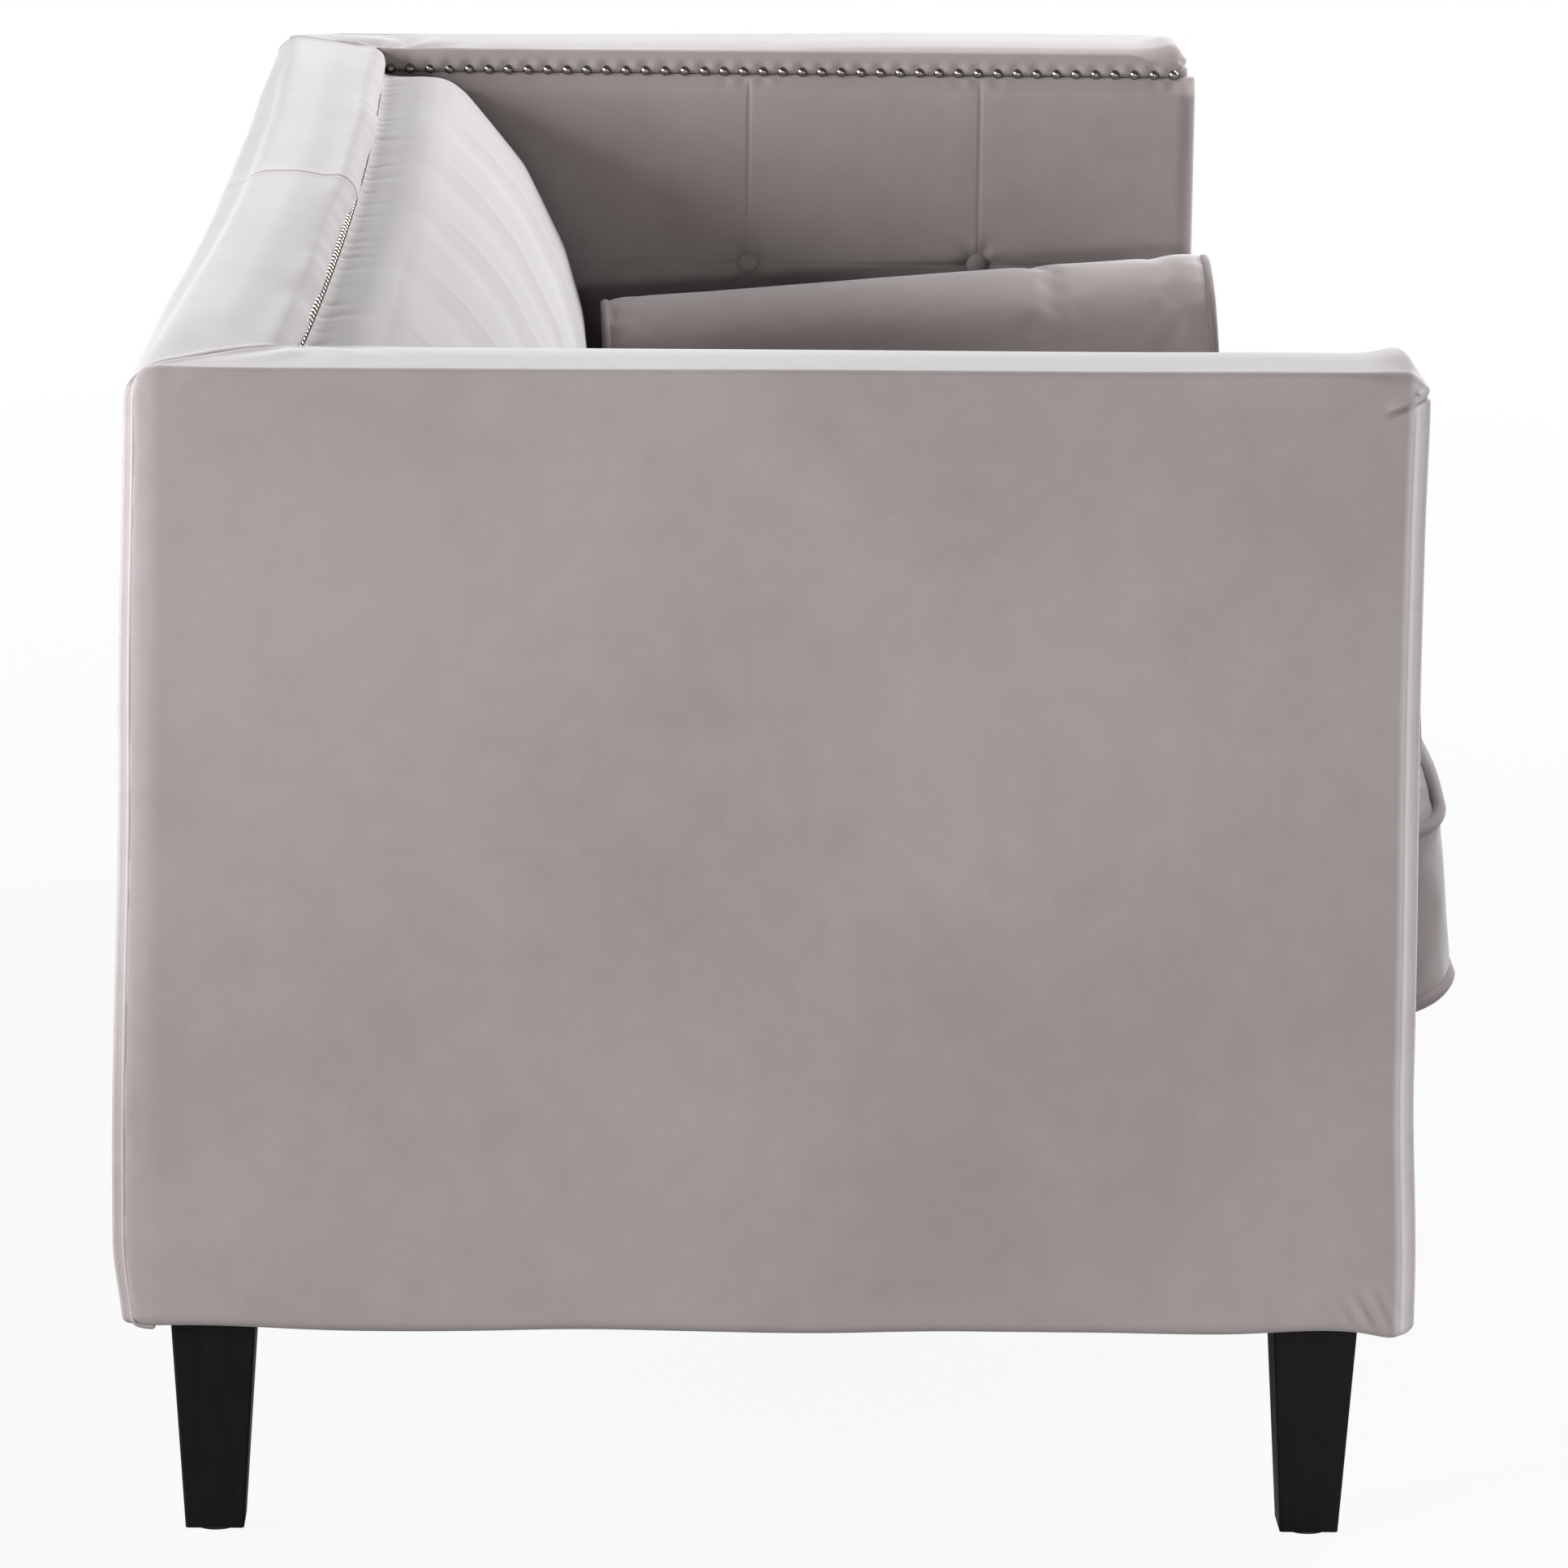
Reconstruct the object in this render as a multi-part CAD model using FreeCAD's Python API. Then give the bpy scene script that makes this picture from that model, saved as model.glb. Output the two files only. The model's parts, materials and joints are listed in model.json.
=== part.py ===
import FreeCAD, Part
import math
import os
from FreeCAD import Vector

# A three-seater sofa with arms as high as its back, built as a real frame under upholstery.
# Millimetres, +Z up, front towards -Y. "Left" is the -X end, as seen by someone facing the sofa.
# The origin is on the floor at the centre of the whole footprint.

# Overall sizes
sofa_length = 2040.0       # across the outside faces of the two arms
sofa_height = 750.0        # floor to the top of the arms and the back
body_depth = 805.0         # arm fronts to the outside back
cushion_overhang = 44.0    # the seat cushions stand this far in front of the arms
leg_height = 145.0         # floor to the underside of the body
arm_thickness = 115.0
back_thickness = 98.0      # outside back to the face that carries the nails
back_bow = 10.0            # that face curves forwards this far at mid-length

# Covers: velvet over wadding
cover_thickness = 10.0
top_padding = 10.0         # wadding over the flat boards on top of the arms and back
lip_thickness = 10.0       # the turned-down inner edge that the nails hold
edge_radius = 14.0
apron_setback = 12.0       # the front border lies this far behind the arm fronts
dust_cover_thickness = 1.5

# Timber frame
top_board_thickness = 20.0
board_inset = 8.0          # the back's top board ends this far inside the posts
post_thickness = 45.0
post_width = 70.0
base_rail_thickness = 28.0
base_rail_height = 90.0
block_depth = 95.0
block_height = 60.0
cross_rail_thickness = 45.0
cross_rail_height = 58.0
arm_panel_thickness = 4.0
webbing_width = 50.0
webbing_thickness = 2.0
webbing_rows = 3

# Seat platform
deck_front_height = 327.0  # floor to the top of the platform at the front border
deck_thickness = 25.0
seat_pitch = 4.8           # degrees that the seat drops towards the back
spring_count = 9
spring_wire = 3.8
spring_bar = 38.0          # straight part of each zigzag
spring_pitch = 36.0        # wanted distance between the bars
clip_wall = 1.5
clip_length = 24.0

# Arm pads with sewn seams and buttons
pad_bulge = 9.0            # how far the padding swells in front of the seams
seam_width = 3.0
button_from_front = 183.0  # arm front to the first row of buttons
button_spacing = 202.0
button_columns = 2
button_drop = 168.0        # nail line to the buttons
button_diameter = 20.0
button_rise = 7.0
twine_diameter = 2.5

# Inside back pad, measured forwards from the face that carries the nails
back_shoulder = 76.0
back_belly = 181.0
back_belly_drop = 280.0    # top of the sofa down to the fullest part
back_foot = 166.0
back_end_ease = 7.0        # the pad is this much less full at its two ends
back_face_bow = 0.064      # how far the long face curves out, as a share of its length
shoulder_drop = 2.0        # top of the shoulder under the lip
foot_tuck = 4.0            # how far the face draws in below its fullest part

# Seat cushions
cushion_count = 3
cushion_border = 116.0     # bottom piping to top piping
cushion_crown = 8.0
cushion_corner = 24.0
side_draw = 3.0            # how far each side pulls in between its corners
piping_diameter = 9.0
cushion_gap = 2.0          # between neighbouring cushions
cushion_base = 0.3         # the foam starts this far above the platform

# Bolsters
bolster_diameter = 125.0
bolster_end_diameter = 121.0   # over the piping
bolster_length = 522.0
bolster_shoulder = 26.0    # it reaches its full size this far from each end
bolster_dome = 7.0
left_bolster_gap = 0.5     # from its rear end to the fullest line of the back pad
right_bolster_gap = 9.0

# Decorative nails
nail_head = 9.0
nail_rise = 3.5
nail_spacing = 17.2
nail_margin = 9.0
nail_shank = 1.6
nail_length = 24.0

# Legs and their fixings
leg_top_width = 54.0
leg_foot_width = 37.0
leg_inset = 28.0           # outside faces to the top of a leg
leg_edge = 1.5             # bevel along the edges of a leg
bolt_diameter = 8.0
bolt_in_leg = 48.0
nut_barrel = 10.0
nut_barrel_length = 12.0
nut_flange = 22.0
nut_flange_thickness = 1.5
glide_diameter = 28.0
glide_thickness = 3.0
screw_diameter = 5.0
screw_head = 10.0
screw_head_thickness = 3.0

# Clearances
soft_gap = 0.5             # between soft pieces that move past each other
hole_gap = 0.1             # round a fixing in its hole

# Positions that follow from the sizes above
half_length = sofa_length / 2
inner_half = half_length - arm_thickness
front_y = -(body_depth + cushion_overhang) / 2
rear_y = -front_y
arm_front_y = rear_y - body_depth
lip_y = rear_y - back_thickness
lip_z = sofa_height - top_padding - top_board_thickness
nail_z = lip_z + top_board_thickness / 2
base_z = leg_height + dust_cover_thickness
base_top = base_z + base_rail_height
frame_x = half_length - cover_thickness
frame_front_y = arm_front_y + cover_thickness
frame_rear_y = rear_y - cover_thickness
post_y = frame_rear_y - post_thickness
webbing_y = post_y - webbing_thickness
apron_y = arm_front_y + apron_setback
rail_y = apron_y + cover_thickness
piping_r = piping_diameter / 2
pitch = math.radians(seat_pitch)
spring_drop = deck_thickness + clip_wall + spring_wire / 2
rail_drop = spring_drop + spring_wire / 2 + clip_wall
button_z = nail_z - button_drop
seat_half = inner_half - pad_bulge - soft_gap

os.makedirs("parts", exist_ok=True)


def write(name, *solids):
    """Save one node: a single solid, or a group of like pieces."""
    shape = solids[0] if len(solids) == 1 else Part.makeCompound(list(solids))
    shape.exportStep("parts/" + name + ".step")


def box(x0, x1, y0, y1, z0, z1):
    return Part.makeBox(x1 - x0, y1 - y0, z1 - z0, Vector(x0, y0, z0))


def other_end(shape):
    """The same piece at the right-hand end of the sofa."""
    return shape.mirror(Vector(0, 0, 0), Vector(1, 0, 0))


def write_pair(name, left_shape):
    write("left_" + name, left_shape)
    write("right_" + name, other_end(left_shape))


def line(a, b):
    return Part.makeLine(a, b)


def arc(a, middle, b):
    return Part.Arc(a, middle, b).toShape()


def loft(wires, ruled=False):
    return Part.makeLoft(wires, True, ruled)


def seat_z(y, above=0.0):
    """Height of the tilted seat plane at y, or of a plane parallel to it."""
    return deck_front_height - (y - apron_y) * math.tan(pitch) + above / math.cos(pitch)


def on_seat(shape):
    """Tilt a piece drawn on a level seat and set it on the platform's front edge."""
    placed = shape.copy()
    placed.rotate(Vector(0, 0, 0), Vector(1, 0, 0), -seat_pitch)
    placed.translate(Vector(0, apron_y, deck_front_height))
    return placed


def lip_face_y(x):
    """The face that carries the nails of the back, an arc between the two inner corners."""
    bow_r = (inner_half ** 2 + back_bow ** 2) / (2 * back_bow)
    return lip_y - back_bow + bow_r - math.sqrt(bow_r ** 2 - x ** 2)


def sloped_prism(x0, x1, y0, y1, z0, z1):
    """A bar along X whose top and bottom heights are functions of y."""
    corners = [Vector(x0, y0, z0(y0)), Vector(x0, y1, z0(y1)),
               Vector(x0, y1, z1(y1)), Vector(x0, y0, z1(y0))]
    outline = Part.makePolygon(corners + corners[:1])
    return Part.Face(outline).extrude(Vector(x1 - x0, 0, 0))


def edges_where(shape, test):
    """Edges whose two ends both satisfy a test on their position."""
    return [e for e in shape.Edges if all(test(v.Point) for v in e.Vertexes)]


# Base frame

side_rail = box(-frame_x, -frame_x + base_rail_thickness, frame_front_y, frame_rear_y, base_z, base_top)
write_pair("side_rail", side_rail)

front_rail = sloped_prism(-inner_half, inner_half, rail_y, rail_y + base_rail_thickness,
                          lambda y: base_z, lambda y: seat_z(y, -rail_drop))
write("front_seat_rail", front_rail)

rear_rail_y = post_y - base_rail_thickness
rear_rail = sloped_prism(-inner_half, inner_half, rear_rail_y, post_y,
                         lambda y: base_z, lambda y: seat_z(y, -rail_drop))
write("rear_seat_rail", rear_rail)

back_bottom_rail = box(-inner_half, inner_half, post_y, frame_rear_y, base_z, base_top)
write("back_bottom_rail", back_bottom_rail)

between_seats = 2 * inner_half / cushion_count
cross_rail_x = -between_seats / 2
cross_rail = box(cross_rail_x - cross_rail_thickness / 2, cross_rail_x + cross_rail_thickness / 2,
                 rail_y + base_rail_thickness, rear_rail_y, base_z, base_z + cross_rail_height)
write_pair("cross_rail", cross_rail)

# Legs, with the blocks, bolts and nuts that hold them

leg_x = half_length - leg_inset - leg_top_width / 2
front_leg_y = arm_front_y + leg_inset + leg_top_width / 2
rear_leg_y = rear_y - leg_inset - leg_top_width / 2
block_top = base_z + block_height
bolt_top = block_top + nut_flange_thickness
bolt_bottom = base_z - bolt_in_leg


def square(width, z):
    """A square with its corners bevelled."""
    h = width / 2
    c = h - leg_edge
    corners = [Vector(-c, -h, z), Vector(c, -h, z), Vector(h, -c, z), Vector(h, c, z),
               Vector(c, h, z), Vector(-c, h, z), Vector(-h, c, z), Vector(-h, -c, z)]
    return Part.makePolygon(corners + corners[:1])


def drilled(shape, radius, z0, z1):
    return shape.cut(Part.makeCylinder(radius, z1 - z0, Vector(0, 0, z0)))


bolt_r = bolt_diameter / 2
leg = loft([square(leg_foot_width, glide_thickness), square(leg_top_width, base_z)], True)
leg = drilled(leg, bolt_r + hole_gap, bolt_bottom - 1, base_z + 1)
bolt = Part.makeCylinder(bolt_r, bolt_top - bolt_bottom, Vector(0, 0, bolt_bottom))
barrel_bottom = block_top - nut_barrel_length
nut = Part.makeCylinder(nut_barrel / 2, nut_barrel_length, Vector(0, 0, barrel_bottom))
nut = nut.fuse(Part.makeCylinder(nut_flange / 2, nut_flange_thickness, Vector(0, 0, block_top)))
nut = drilled(nut, bolt_r + hole_gap, barrel_bottom - 1, bolt_top + 1)
glide = Part.makeCylinder(glide_diameter / 2, glide_thickness)
glide = glide.makeChamfer(glide_thickness / 3, edges_where(glide, lambda p: p.z < glide_thickness / 2)[:1])

block_x0 = -frame_x + base_rail_thickness
screw_length = -inner_half - block_x0 + base_rail_thickness * 0.7
front_screw_y = (rail_y + base_rail_thickness + frame_front_y + block_depth) / 2
rear_screw_y = (frame_rear_y - block_depth + rear_rail_y) / 2
block_solids = []
screw_solids = []
corners = [("front_left", -leg_x, front_leg_y), ("front_right", leg_x, front_leg_y),
           ("rear_left", -leg_x, rear_leg_y), ("rear_right", leg_x, rear_leg_y)]
leg_spots = []
for name, x, y in corners:
    spot = Vector(x, y, 0)
    leg_spots.append(spot)
    write("leg_" + name, leg.translated(spot))
    y0 = frame_front_y if y < 0 else frame_rear_y - block_depth
    block = box(block_x0, -inner_half, y0, y0 + block_depth, base_z, block_top)
    hole = Vector(-leg_x, y, 0)
    block = block.cut(Part.makeCylinder(bolt_r + hole_gap, block_height, hole + Vector(0, 0, base_z)))
    block = block.cut(Part.makeCylinder(nut_barrel / 2 + hole_gap, nut_barrel_length,
                                        hole + Vector(0, 0, barrel_bottom)))
    screw_y = front_screw_y if y < 0 else rear_screw_y
    for share in (0.3, 0.7):
        at = Vector(-inner_half, screw_y, base_z + block_height * share)
        screw = Part.makeCylinder(screw_diameter / 2, screw_length, at, Vector(-1, 0, 0))
        head = Part.makeCylinder(screw_head / 2, screw_head_thickness, at, Vector(1, 0, 0))
        screw = screw.fuse(head)
        screw_solids.append(screw if x < 0 else other_end(screw))
    block_solids.append(block if x < 0 else other_end(block))
write("corner_blocks", *block_solids)
write("corner_screws", *screw_solids)
write("leg_bolts", *[bolt.translated(spot) for spot in leg_spots])
write("leg_tee_nuts", *[nut.translated(spot) for spot in leg_spots])
write("leg_glides", *[glide.translated(spot) for spot in leg_spots])

# Arm and back frames

front_post = box(-frame_x, -frame_x + post_thickness, frame_front_y, frame_front_y + post_width,
                 base_top, lip_z)
write_pair("arm_front_post", front_post)
rear_post = box(-frame_x, -frame_x + post_thickness, post_y, frame_rear_y, base_top, lip_z)
write_pair("rear_post", rear_post)
upright = box(cross_rail_x - post_thickness / 2, cross_rail_x + post_thickness / 2,
              post_y, frame_rear_y, base_top, lip_z)
write_pair("back_upright", upright)

board_top = sofa_height - top_padding
arm_board = box(-frame_x, -inner_half - lip_thickness, frame_front_y, lip_y + lip_thickness, lip_z, board_top)
write_pair("arm_top_board", arm_board)
back_board = box(-frame_x, frame_x, lip_y + lip_thickness, frame_rear_y - board_inset, lip_z, board_top)
write("back_top_board", back_board)

panel_x = -frame_x + post_thickness
pad_rear_y = webbing_y - soft_gap
arm_panel = box(panel_x, panel_x + arm_panel_thickness, frame_front_y, pad_rear_y, base_top, lip_z)

straps = []
web_low = seat_z(webbing_y) + webbing_width
web_step = (lip_z - webbing_width - web_low) / webbing_rows
for row in range(webbing_rows):
    z = web_low + web_step * (row + 0.5)
    straps.append(box(-frame_x, frame_x, webbing_y, post_y, z, z + webbing_width))
write("back_webbing", *straps)

# Zigzag springs and the clips that hold their ends on the two seat rails

spring_front = (rail_y + base_rail_thickness / 2 - apron_y) / math.cos(pitch)
spring_rear = (rear_rail_y + base_rail_thickness / 2 - apron_y) / math.cos(pitch)
bend_count = max(2, round((spring_rear - spring_front) / spring_pitch))
bar_step = (spring_rear - spring_front) / bend_count


def zigzag_spring():
    """Straight bars joined by half-round bends, in the level plane through the wire's centre."""
    side = spring_bar / 2
    edges = []
    for bar in range(bend_count + 1):
        v = spring_front + bar * bar_step
        turn = side if bar % 2 == 0 else -side
        edges.append(line(Vector(-turn, v, -spring_drop), Vector(turn, v, -spring_drop)))
        if bar < bend_count:
            out = turn + math.copysign(bar_step / 2, turn)
            tip = Vector(out, v + bar_step / 2, -spring_drop)
            start = Vector(turn, v, -spring_drop)
            end = Vector(turn, v + bar_step, -spring_drop)
            edges.append(arc(start, tip, end))
    path = Part.Wire(edges)
    ring = Part.makeCircle(spring_wire / 2, Vector(-side, spring_front, -spring_drop), Vector(1, 0, 0))
    return path.makePipeShell([Part.Wire(ring)], True, False)


clip_size = spring_wire + 2 * clip_wall
clip_blank = box(-clip_length / 2, clip_length / 2, -clip_size / 2, clip_size / 2,
                 -spring_drop - clip_size / 2, -spring_drop + clip_size / 2)
clip_bore = Part.makeCylinder(spring_wire / 2 + hole_gap, clip_length + 2,
                              Vector(-clip_length / 2 - 1, 0, -spring_drop), Vector(1, 0, 0))
clip = clip_blank.cut(clip_bore)
spring = zigzag_spring()
spring_step = 2 * inner_half / spring_count
spring_solids = []
clip_solids = []
for index in range(spring_count):
    x = -inner_half + spring_step * (index + 0.5)
    spring_solids.append(on_seat(spring.translated(Vector(x, 0, 0))))
    clip_solids.append(on_seat(clip.translated(Vector(x, spring_front, 0))))
    clip_solids.append(on_seat(clip.translated(Vector(x, spring_rear, 0))))
write("seat_springs", *spring_solids)
write("spring_clips", *clip_solids)

deck_half = inner_half - soft_gap
deck = sloped_prism(-deck_half, deck_half, rail_y, pad_rear_y,
                    lambda y: seat_z(y, -deck_thickness), lambda y: seat_z(y))
write("seat_deck", deck)

# Covers over the frame: each arm, the back, the front border and the underside

soft_radius = min(edge_radius, 2.5 * cover_thickness, 2.5 * top_padding)


arm_block = box(-half_length, -inner_half, arm_front_y, rear_y, leg_height, sofa_height)
arm_block = arm_block.makeFillet(soft_radius, [
    e for e in arm_block.Edges
    if all(v.Z > sofa_height - 0.01 for v in e.Vertexes)
    or all(v.Y < arm_front_y + 0.01 for v in e.Vertexes) and abs(e.Vertexes[0].X - e.Vertexes[1].X) < 0.01
    or all(v.Y > rear_y - 0.01 and v.X < -half_length + 0.01 for v in e.Vertexes)])
arm_hollow = box(-frame_x, -inner_half - lip_thickness, frame_front_y, frame_rear_y,
                 leg_height - 1, board_top)
arm_mouth = box(-inner_half - lip_thickness - 1, -inner_half + 1, frame_front_y, frame_rear_y,
                leg_height - 1, lip_z)
mitre = [Vector(-inner_half, lip_y, 0), Vector(-half_length, rear_y, 0),
         Vector(half_length, rear_y, 0), Vector(inner_half, lip_y, 0)]
block_corners = [mitre[0], Vector(-half_length, lip_y, 0), mitre[1],
                 mitre[2], Vector(half_length, lip_y, 0), mitre[3]]


def bowed_prism(corners, z0, z1):
    """An upright prism on a chain of corners, closed by the bowed face of the back."""
    sides = [line(a, b) for a, b in zip(corners, corners[1:])]
    bow = arc(corners[-1], Vector(0, lip_face_y(0), 0), corners[0])
    return Part.Face(Part.Wire(sides + [bow])).extrude(Vector(0, 0, z1 - z0)).translated(Vector(0, 0, z0))


back_block = bowed_prism(block_corners, leg_height, sofa_height)
back_block = back_block.makeFillet(soft_radius, [
    e for e in back_block.Edges
    if all(v.Z > sofa_height - 0.01 for v in e.Vertexes)
    or all(v.Y > rear_y - 0.01 for v in e.Vertexes) and abs(e.Vertexes[0].X - e.Vertexes[1].X) < 0.01])
back_hollow = box(-frame_x, frame_x, lip_y + lip_thickness, frame_rear_y, leg_height - 1, board_top)
back_mouth = box(-frame_x, frame_x, lip_y - back_bow - 1, lip_y + lip_thickness + 1, leg_height - 1, lip_z)
hollows = [arm_hollow, other_end(arm_hollow), arm_mouth, other_end(arm_mouth), back_hollow, back_mouth]

# The arm and back covers meet in a mitre from the outer corner to the inner corner
mitre_wedge = bowed_prism(mitre, 0, sofa_height + 1)
arm_cover = arm_block.cut(hollows).cut(mitre_wedge)
back_cover = back_block.cut(hollows).common(mitre_wedge)
write_pair("arm_cover", arm_cover)
write("back_cover", back_cover)

apron_top = seat_z(rail_y)
apron = box(-inner_half, inner_half, apron_y, rail_y, leg_height, apron_top)
apron = apron.makeFillet(cover_thickness / 2, edges_where(
    apron, lambda p: p.y < apron_y + 0.01 and p.z < leg_height + 0.01))
write("front_border", apron)

dust_cover = box(-frame_x, frame_x, rail_y, frame_rear_y, leg_height, base_z)
leg_hole = leg_top_width / 2 + hole_gap
for spot in leg_spots:
    dust_cover = dust_cover.cut(box(spot.x - leg_hole, spot.x + leg_hole,
                                    spot.y - leg_hole, spot.y + leg_hole, leg_height - 1, base_z + 1))
write("dust_cover", dust_cover)

# Inside arm pads: a thick pad whose face swells between sewn seams, with a button at each crossing

pad_x = panel_x + arm_panel_thickness
pad_top = lip_z - soft_gap
pad_slab = box(pad_x, -inner_half, frame_front_y, pad_rear_y, base_top, pad_top)
columns = [arm_front_y + button_from_front + i * button_spacing for i in range(button_columns)]
column_edges = [frame_front_y] + columns + [pad_rear_y]
row_edges = [deck_front_height + cushion_border * 0.25, button_z, pad_top]
swell = [(0.0, 0.0), (0.62, 0.05), (0.9, 0.16), (1.0, 0.34)]


def cell_wire(y0, y1, z0, z1, rise, inset):
    dy = (y1 - y0) * inset
    dz = (z1 - z0) * inset
    x = -inner_half + rise
    ring = [Vector(x, y0 + dy, z0 + dz), Vector(x, y1 - dy, z0 + dz),
            Vector(x, y1 - dy, z1 - dz), Vector(x, y0 + dy, z1 - dz)]
    return Part.makePolygon(ring + ring[:1])


cells = []
half_seam = seam_width / 2
for y0, y1 in zip(column_edges, column_edges[1:]):
    for z0, z1 in zip(row_edges, row_edges[1:]):
        rings = [cell_wire(y0 + half_seam, y1 - half_seam, z0 + half_seam, z1 - half_seam,
                           pad_bulge * rise, inset) for rise, inset in swell]
        cells.append(loft(rings))
arm_pad = pad_slab.multiFuse(cells)

button_r = button_diameter / 2
dome_r = (button_r ** 2 + button_rise ** 2) / (2 * button_rise)
dome_from = math.degrees(math.asin((dome_r - button_rise) / dome_r))
button_solids = []
for y in columns:
    seat = Vector(-inner_half, y, button_z)
    into = Vector(1, 0, 0)
    dome = Part.makeSphere(dome_r, seat - into * (dome_r - button_rise), into, dome_from, 90, 360)
    tail = pad_x - arm_panel_thickness / 2
    twine = Part.makeCylinder(twine_diameter / 2, -inner_half - tail, Vector(tail, y, button_z), into)
    button_solids.append(dome.fuse(twine))
    hollow = Part.makeCone(button_r + 2 * hole_gap, button_r * 2, pad_bulge + 1, seat, into)
    arm_pad = arm_pad.cut(hollow)
    thread = Part.makeCylinder(twine_diameter / 2 + hole_gap, sofa_length,
                               Vector(-half_length, y, button_z), into)
    arm_pad = arm_pad.cut(thread)
    arm_panel = arm_panel.cut(thread)
write_pair("arm_pad", arm_pad)
write_pair("arm_panel", arm_panel)
write("arm_buttons", *button_solids, *[other_end(b) for b in button_solids])

# Inside back pad: a tight upholstered wedge, full at the seat and rounded over under the nails

belly_y = lip_y - back_belly
belly_z = sofa_height - back_belly_drop
shoulder_y = lip_y - back_shoulder
shoulder_z = lip_z - shoulder_drop


def back_profile(x, ease):
    def p(y, z):
        return Vector(x, y, z)
    under = p(lip_face_y(x), pad_top)
    crest = p((under.y + shoulder_y) / 2, nail_z - nail_head / 2 + ease * -0.5)
    shoulder = p(shoulder_y + ease * 0.4, shoulder_z - ease)
    belly = p(belly_y + ease, belly_z)
    fall_y = belly_y - shoulder_y
    fall_z = belly_z - shoulder_z
    face = p(shoulder_y + fall_y / 2 + back_face_bow * fall_z + ease,
             shoulder_z + fall_z / 2 - back_face_bow * fall_y)
    foot_y = lip_y - back_foot
    foot = p(foot_y + ease, seat_z(foot_y + ease, soft_gap))
    tuck = p(belly_y + foot_tuck + ease, (belly.z + foot.z) / 2)
    heel = p(pad_rear_y, seat_z(pad_rear_y, soft_gap))
    top = p(pad_rear_y, pad_top)
    return Part.Wire([line(heel, top), line(top, under), arc(under, crest, shoulder),
                      arc(shoulder, face, belly), arc(belly, tuck, foot), line(foot, heel)])


stations = [(-1.0, 1.0), (-0.6, 0.25), (0.0, 0.0), (0.6, 0.25), (1.0, 1.0)]
back_pad = loft([back_profile(seat_half * at, back_end_ease * ease) for at, ease in stations])
write("back_pad", back_pad)

# Nails along the turned-down lip of both arms and the back

nail_r = nail_head / 2
cap_r = (nail_r ** 2 + nail_rise ** 2) / (2 * nail_rise)
cap_from = math.degrees(math.asin((cap_r - nail_rise) / cap_r))
nail = Part.makeSphere(cap_r, Vector(0, 0, nail_rise - cap_r), Vector(0, 0, 1), cap_from, 90, 360)
nail = nail.fuse(Part.makeCylinder(nail_shank / 2, nail_length, Vector(0, 0, -nail_length)))


def nail_at(position, out):
    turned = nail.copy()
    turned.Placement = FreeCAD.Placement(position, FreeCAD.Rotation(Vector(0, 0, 1), out))
    return turned


def evenly(start, end, wanted):
    """Positions from start to end at close to the wanted spacing."""
    count = max(1, round((end - start) / wanted))
    return [start + (end - start) * i / count for i in range(count + 1)]


arm_nails = [nail_at(Vector(-inner_half, y, nail_z), Vector(1, 0, 0))
             for y in evenly(arm_front_y + soft_radius, lip_y - nail_margin, nail_spacing)]
back_nails = [nail_at(Vector(x, lip_face_y(x), nail_z), Vector(0, -1, 0))
              for x in evenly(-inner_half + nail_margin, inner_half - nail_margin, nail_spacing)]
write_pair("arm_nails", Part.makeCompound(arm_nails))
write("back_nails", *back_nails)

# Seat cushions: crowned, with sides that pull in between piped corners

seat_front = (front_y + piping_r * (1 - math.sin(pitch)) - apron_y) / math.cos(pitch)
cushion_top = piping_r + cushion_border
rise_back = (cushion_top + piping_r) * math.sin(pitch)
seat_rear = (belly_y - soft_gap - piping_r - rise_back - apron_y) / math.cos(pitch)
cell_width = (2 * seat_half - (cushion_count - 1) * cushion_gap) / cushion_count


def cushion_outline(x0, x1, y0, y1, z):
    """Rounded corners joined by shallow inward arcs, all tangent."""
    r = cushion_corner
    bend_x = 2 * math.atan(2 * side_draw / (x1 - x0 - 2 * r))
    bend_y = 2 * math.atan(2 * side_draw / (y1 - y0 - 2 * r))
    turns = [(x0 + r, y0 + r, math.pi, bend_y, bend_x), (x1 - r, y0 + r, 1.5 * math.pi, bend_x, bend_y),
             (x1 - r, y1 - r, 0.0, bend_y, bend_x), (x0 + r, y1 - r, 0.5 * math.pi, bend_x, bend_y)]
    ends = []
    edges = []
    for cx, cy, start, before, after in turns:
        def at(angle):
            return Vector(cx + r * math.cos(angle), cy + r * math.sin(angle), z)
        a0 = start - before
        a1 = start + math.pi / 2 + after
        ends.append((at(a0), at(a1)))
        edges.append(arc(at(a0), at((a0 + a1) / 2), at(a1)))
    for i, bend in enumerate((bend_x, bend_y, bend_x, bend_y)):
        a = ends[i][1]
        b = ends[(i + 1) % 4][0]
        along = b - a
        inward = Vector(-along.y, along.x, 0).normalize()
        middle = (a + b) * 0.5 + inward * (along.Length / 2 * math.tan(bend / 2))
        edges.insert(2 * i + 1, arc(a, middle, b))
    return Part.Wire(edges)


def crown_block(x0, x1, y0, y1):
    """A block whose top face is crowned both ways, larger than the cushion in plan."""
    wires = []
    spare = 2 * piping_diameter
    for x, share in ((x0 - spare, 0.1), ((x0 + x1) / 2, 1.0), (x1 + spare, 0.1)):
        a = Vector(x, y0 - spare, cushion_base)
        b = Vector(x, y1 + spare, cushion_base)
        c = Vector(x, y1 + spare, cushion_top)
        d = Vector(x, y0 - spare, cushion_top)
        top = Vector(x, (y0 + y1) / 2, cushion_top + cushion_crown * share)
        wires.append(Part.Wire([line(a, b), line(b, c), arc(c, top, d), line(d, a)]))
    return loft(wires)


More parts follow.
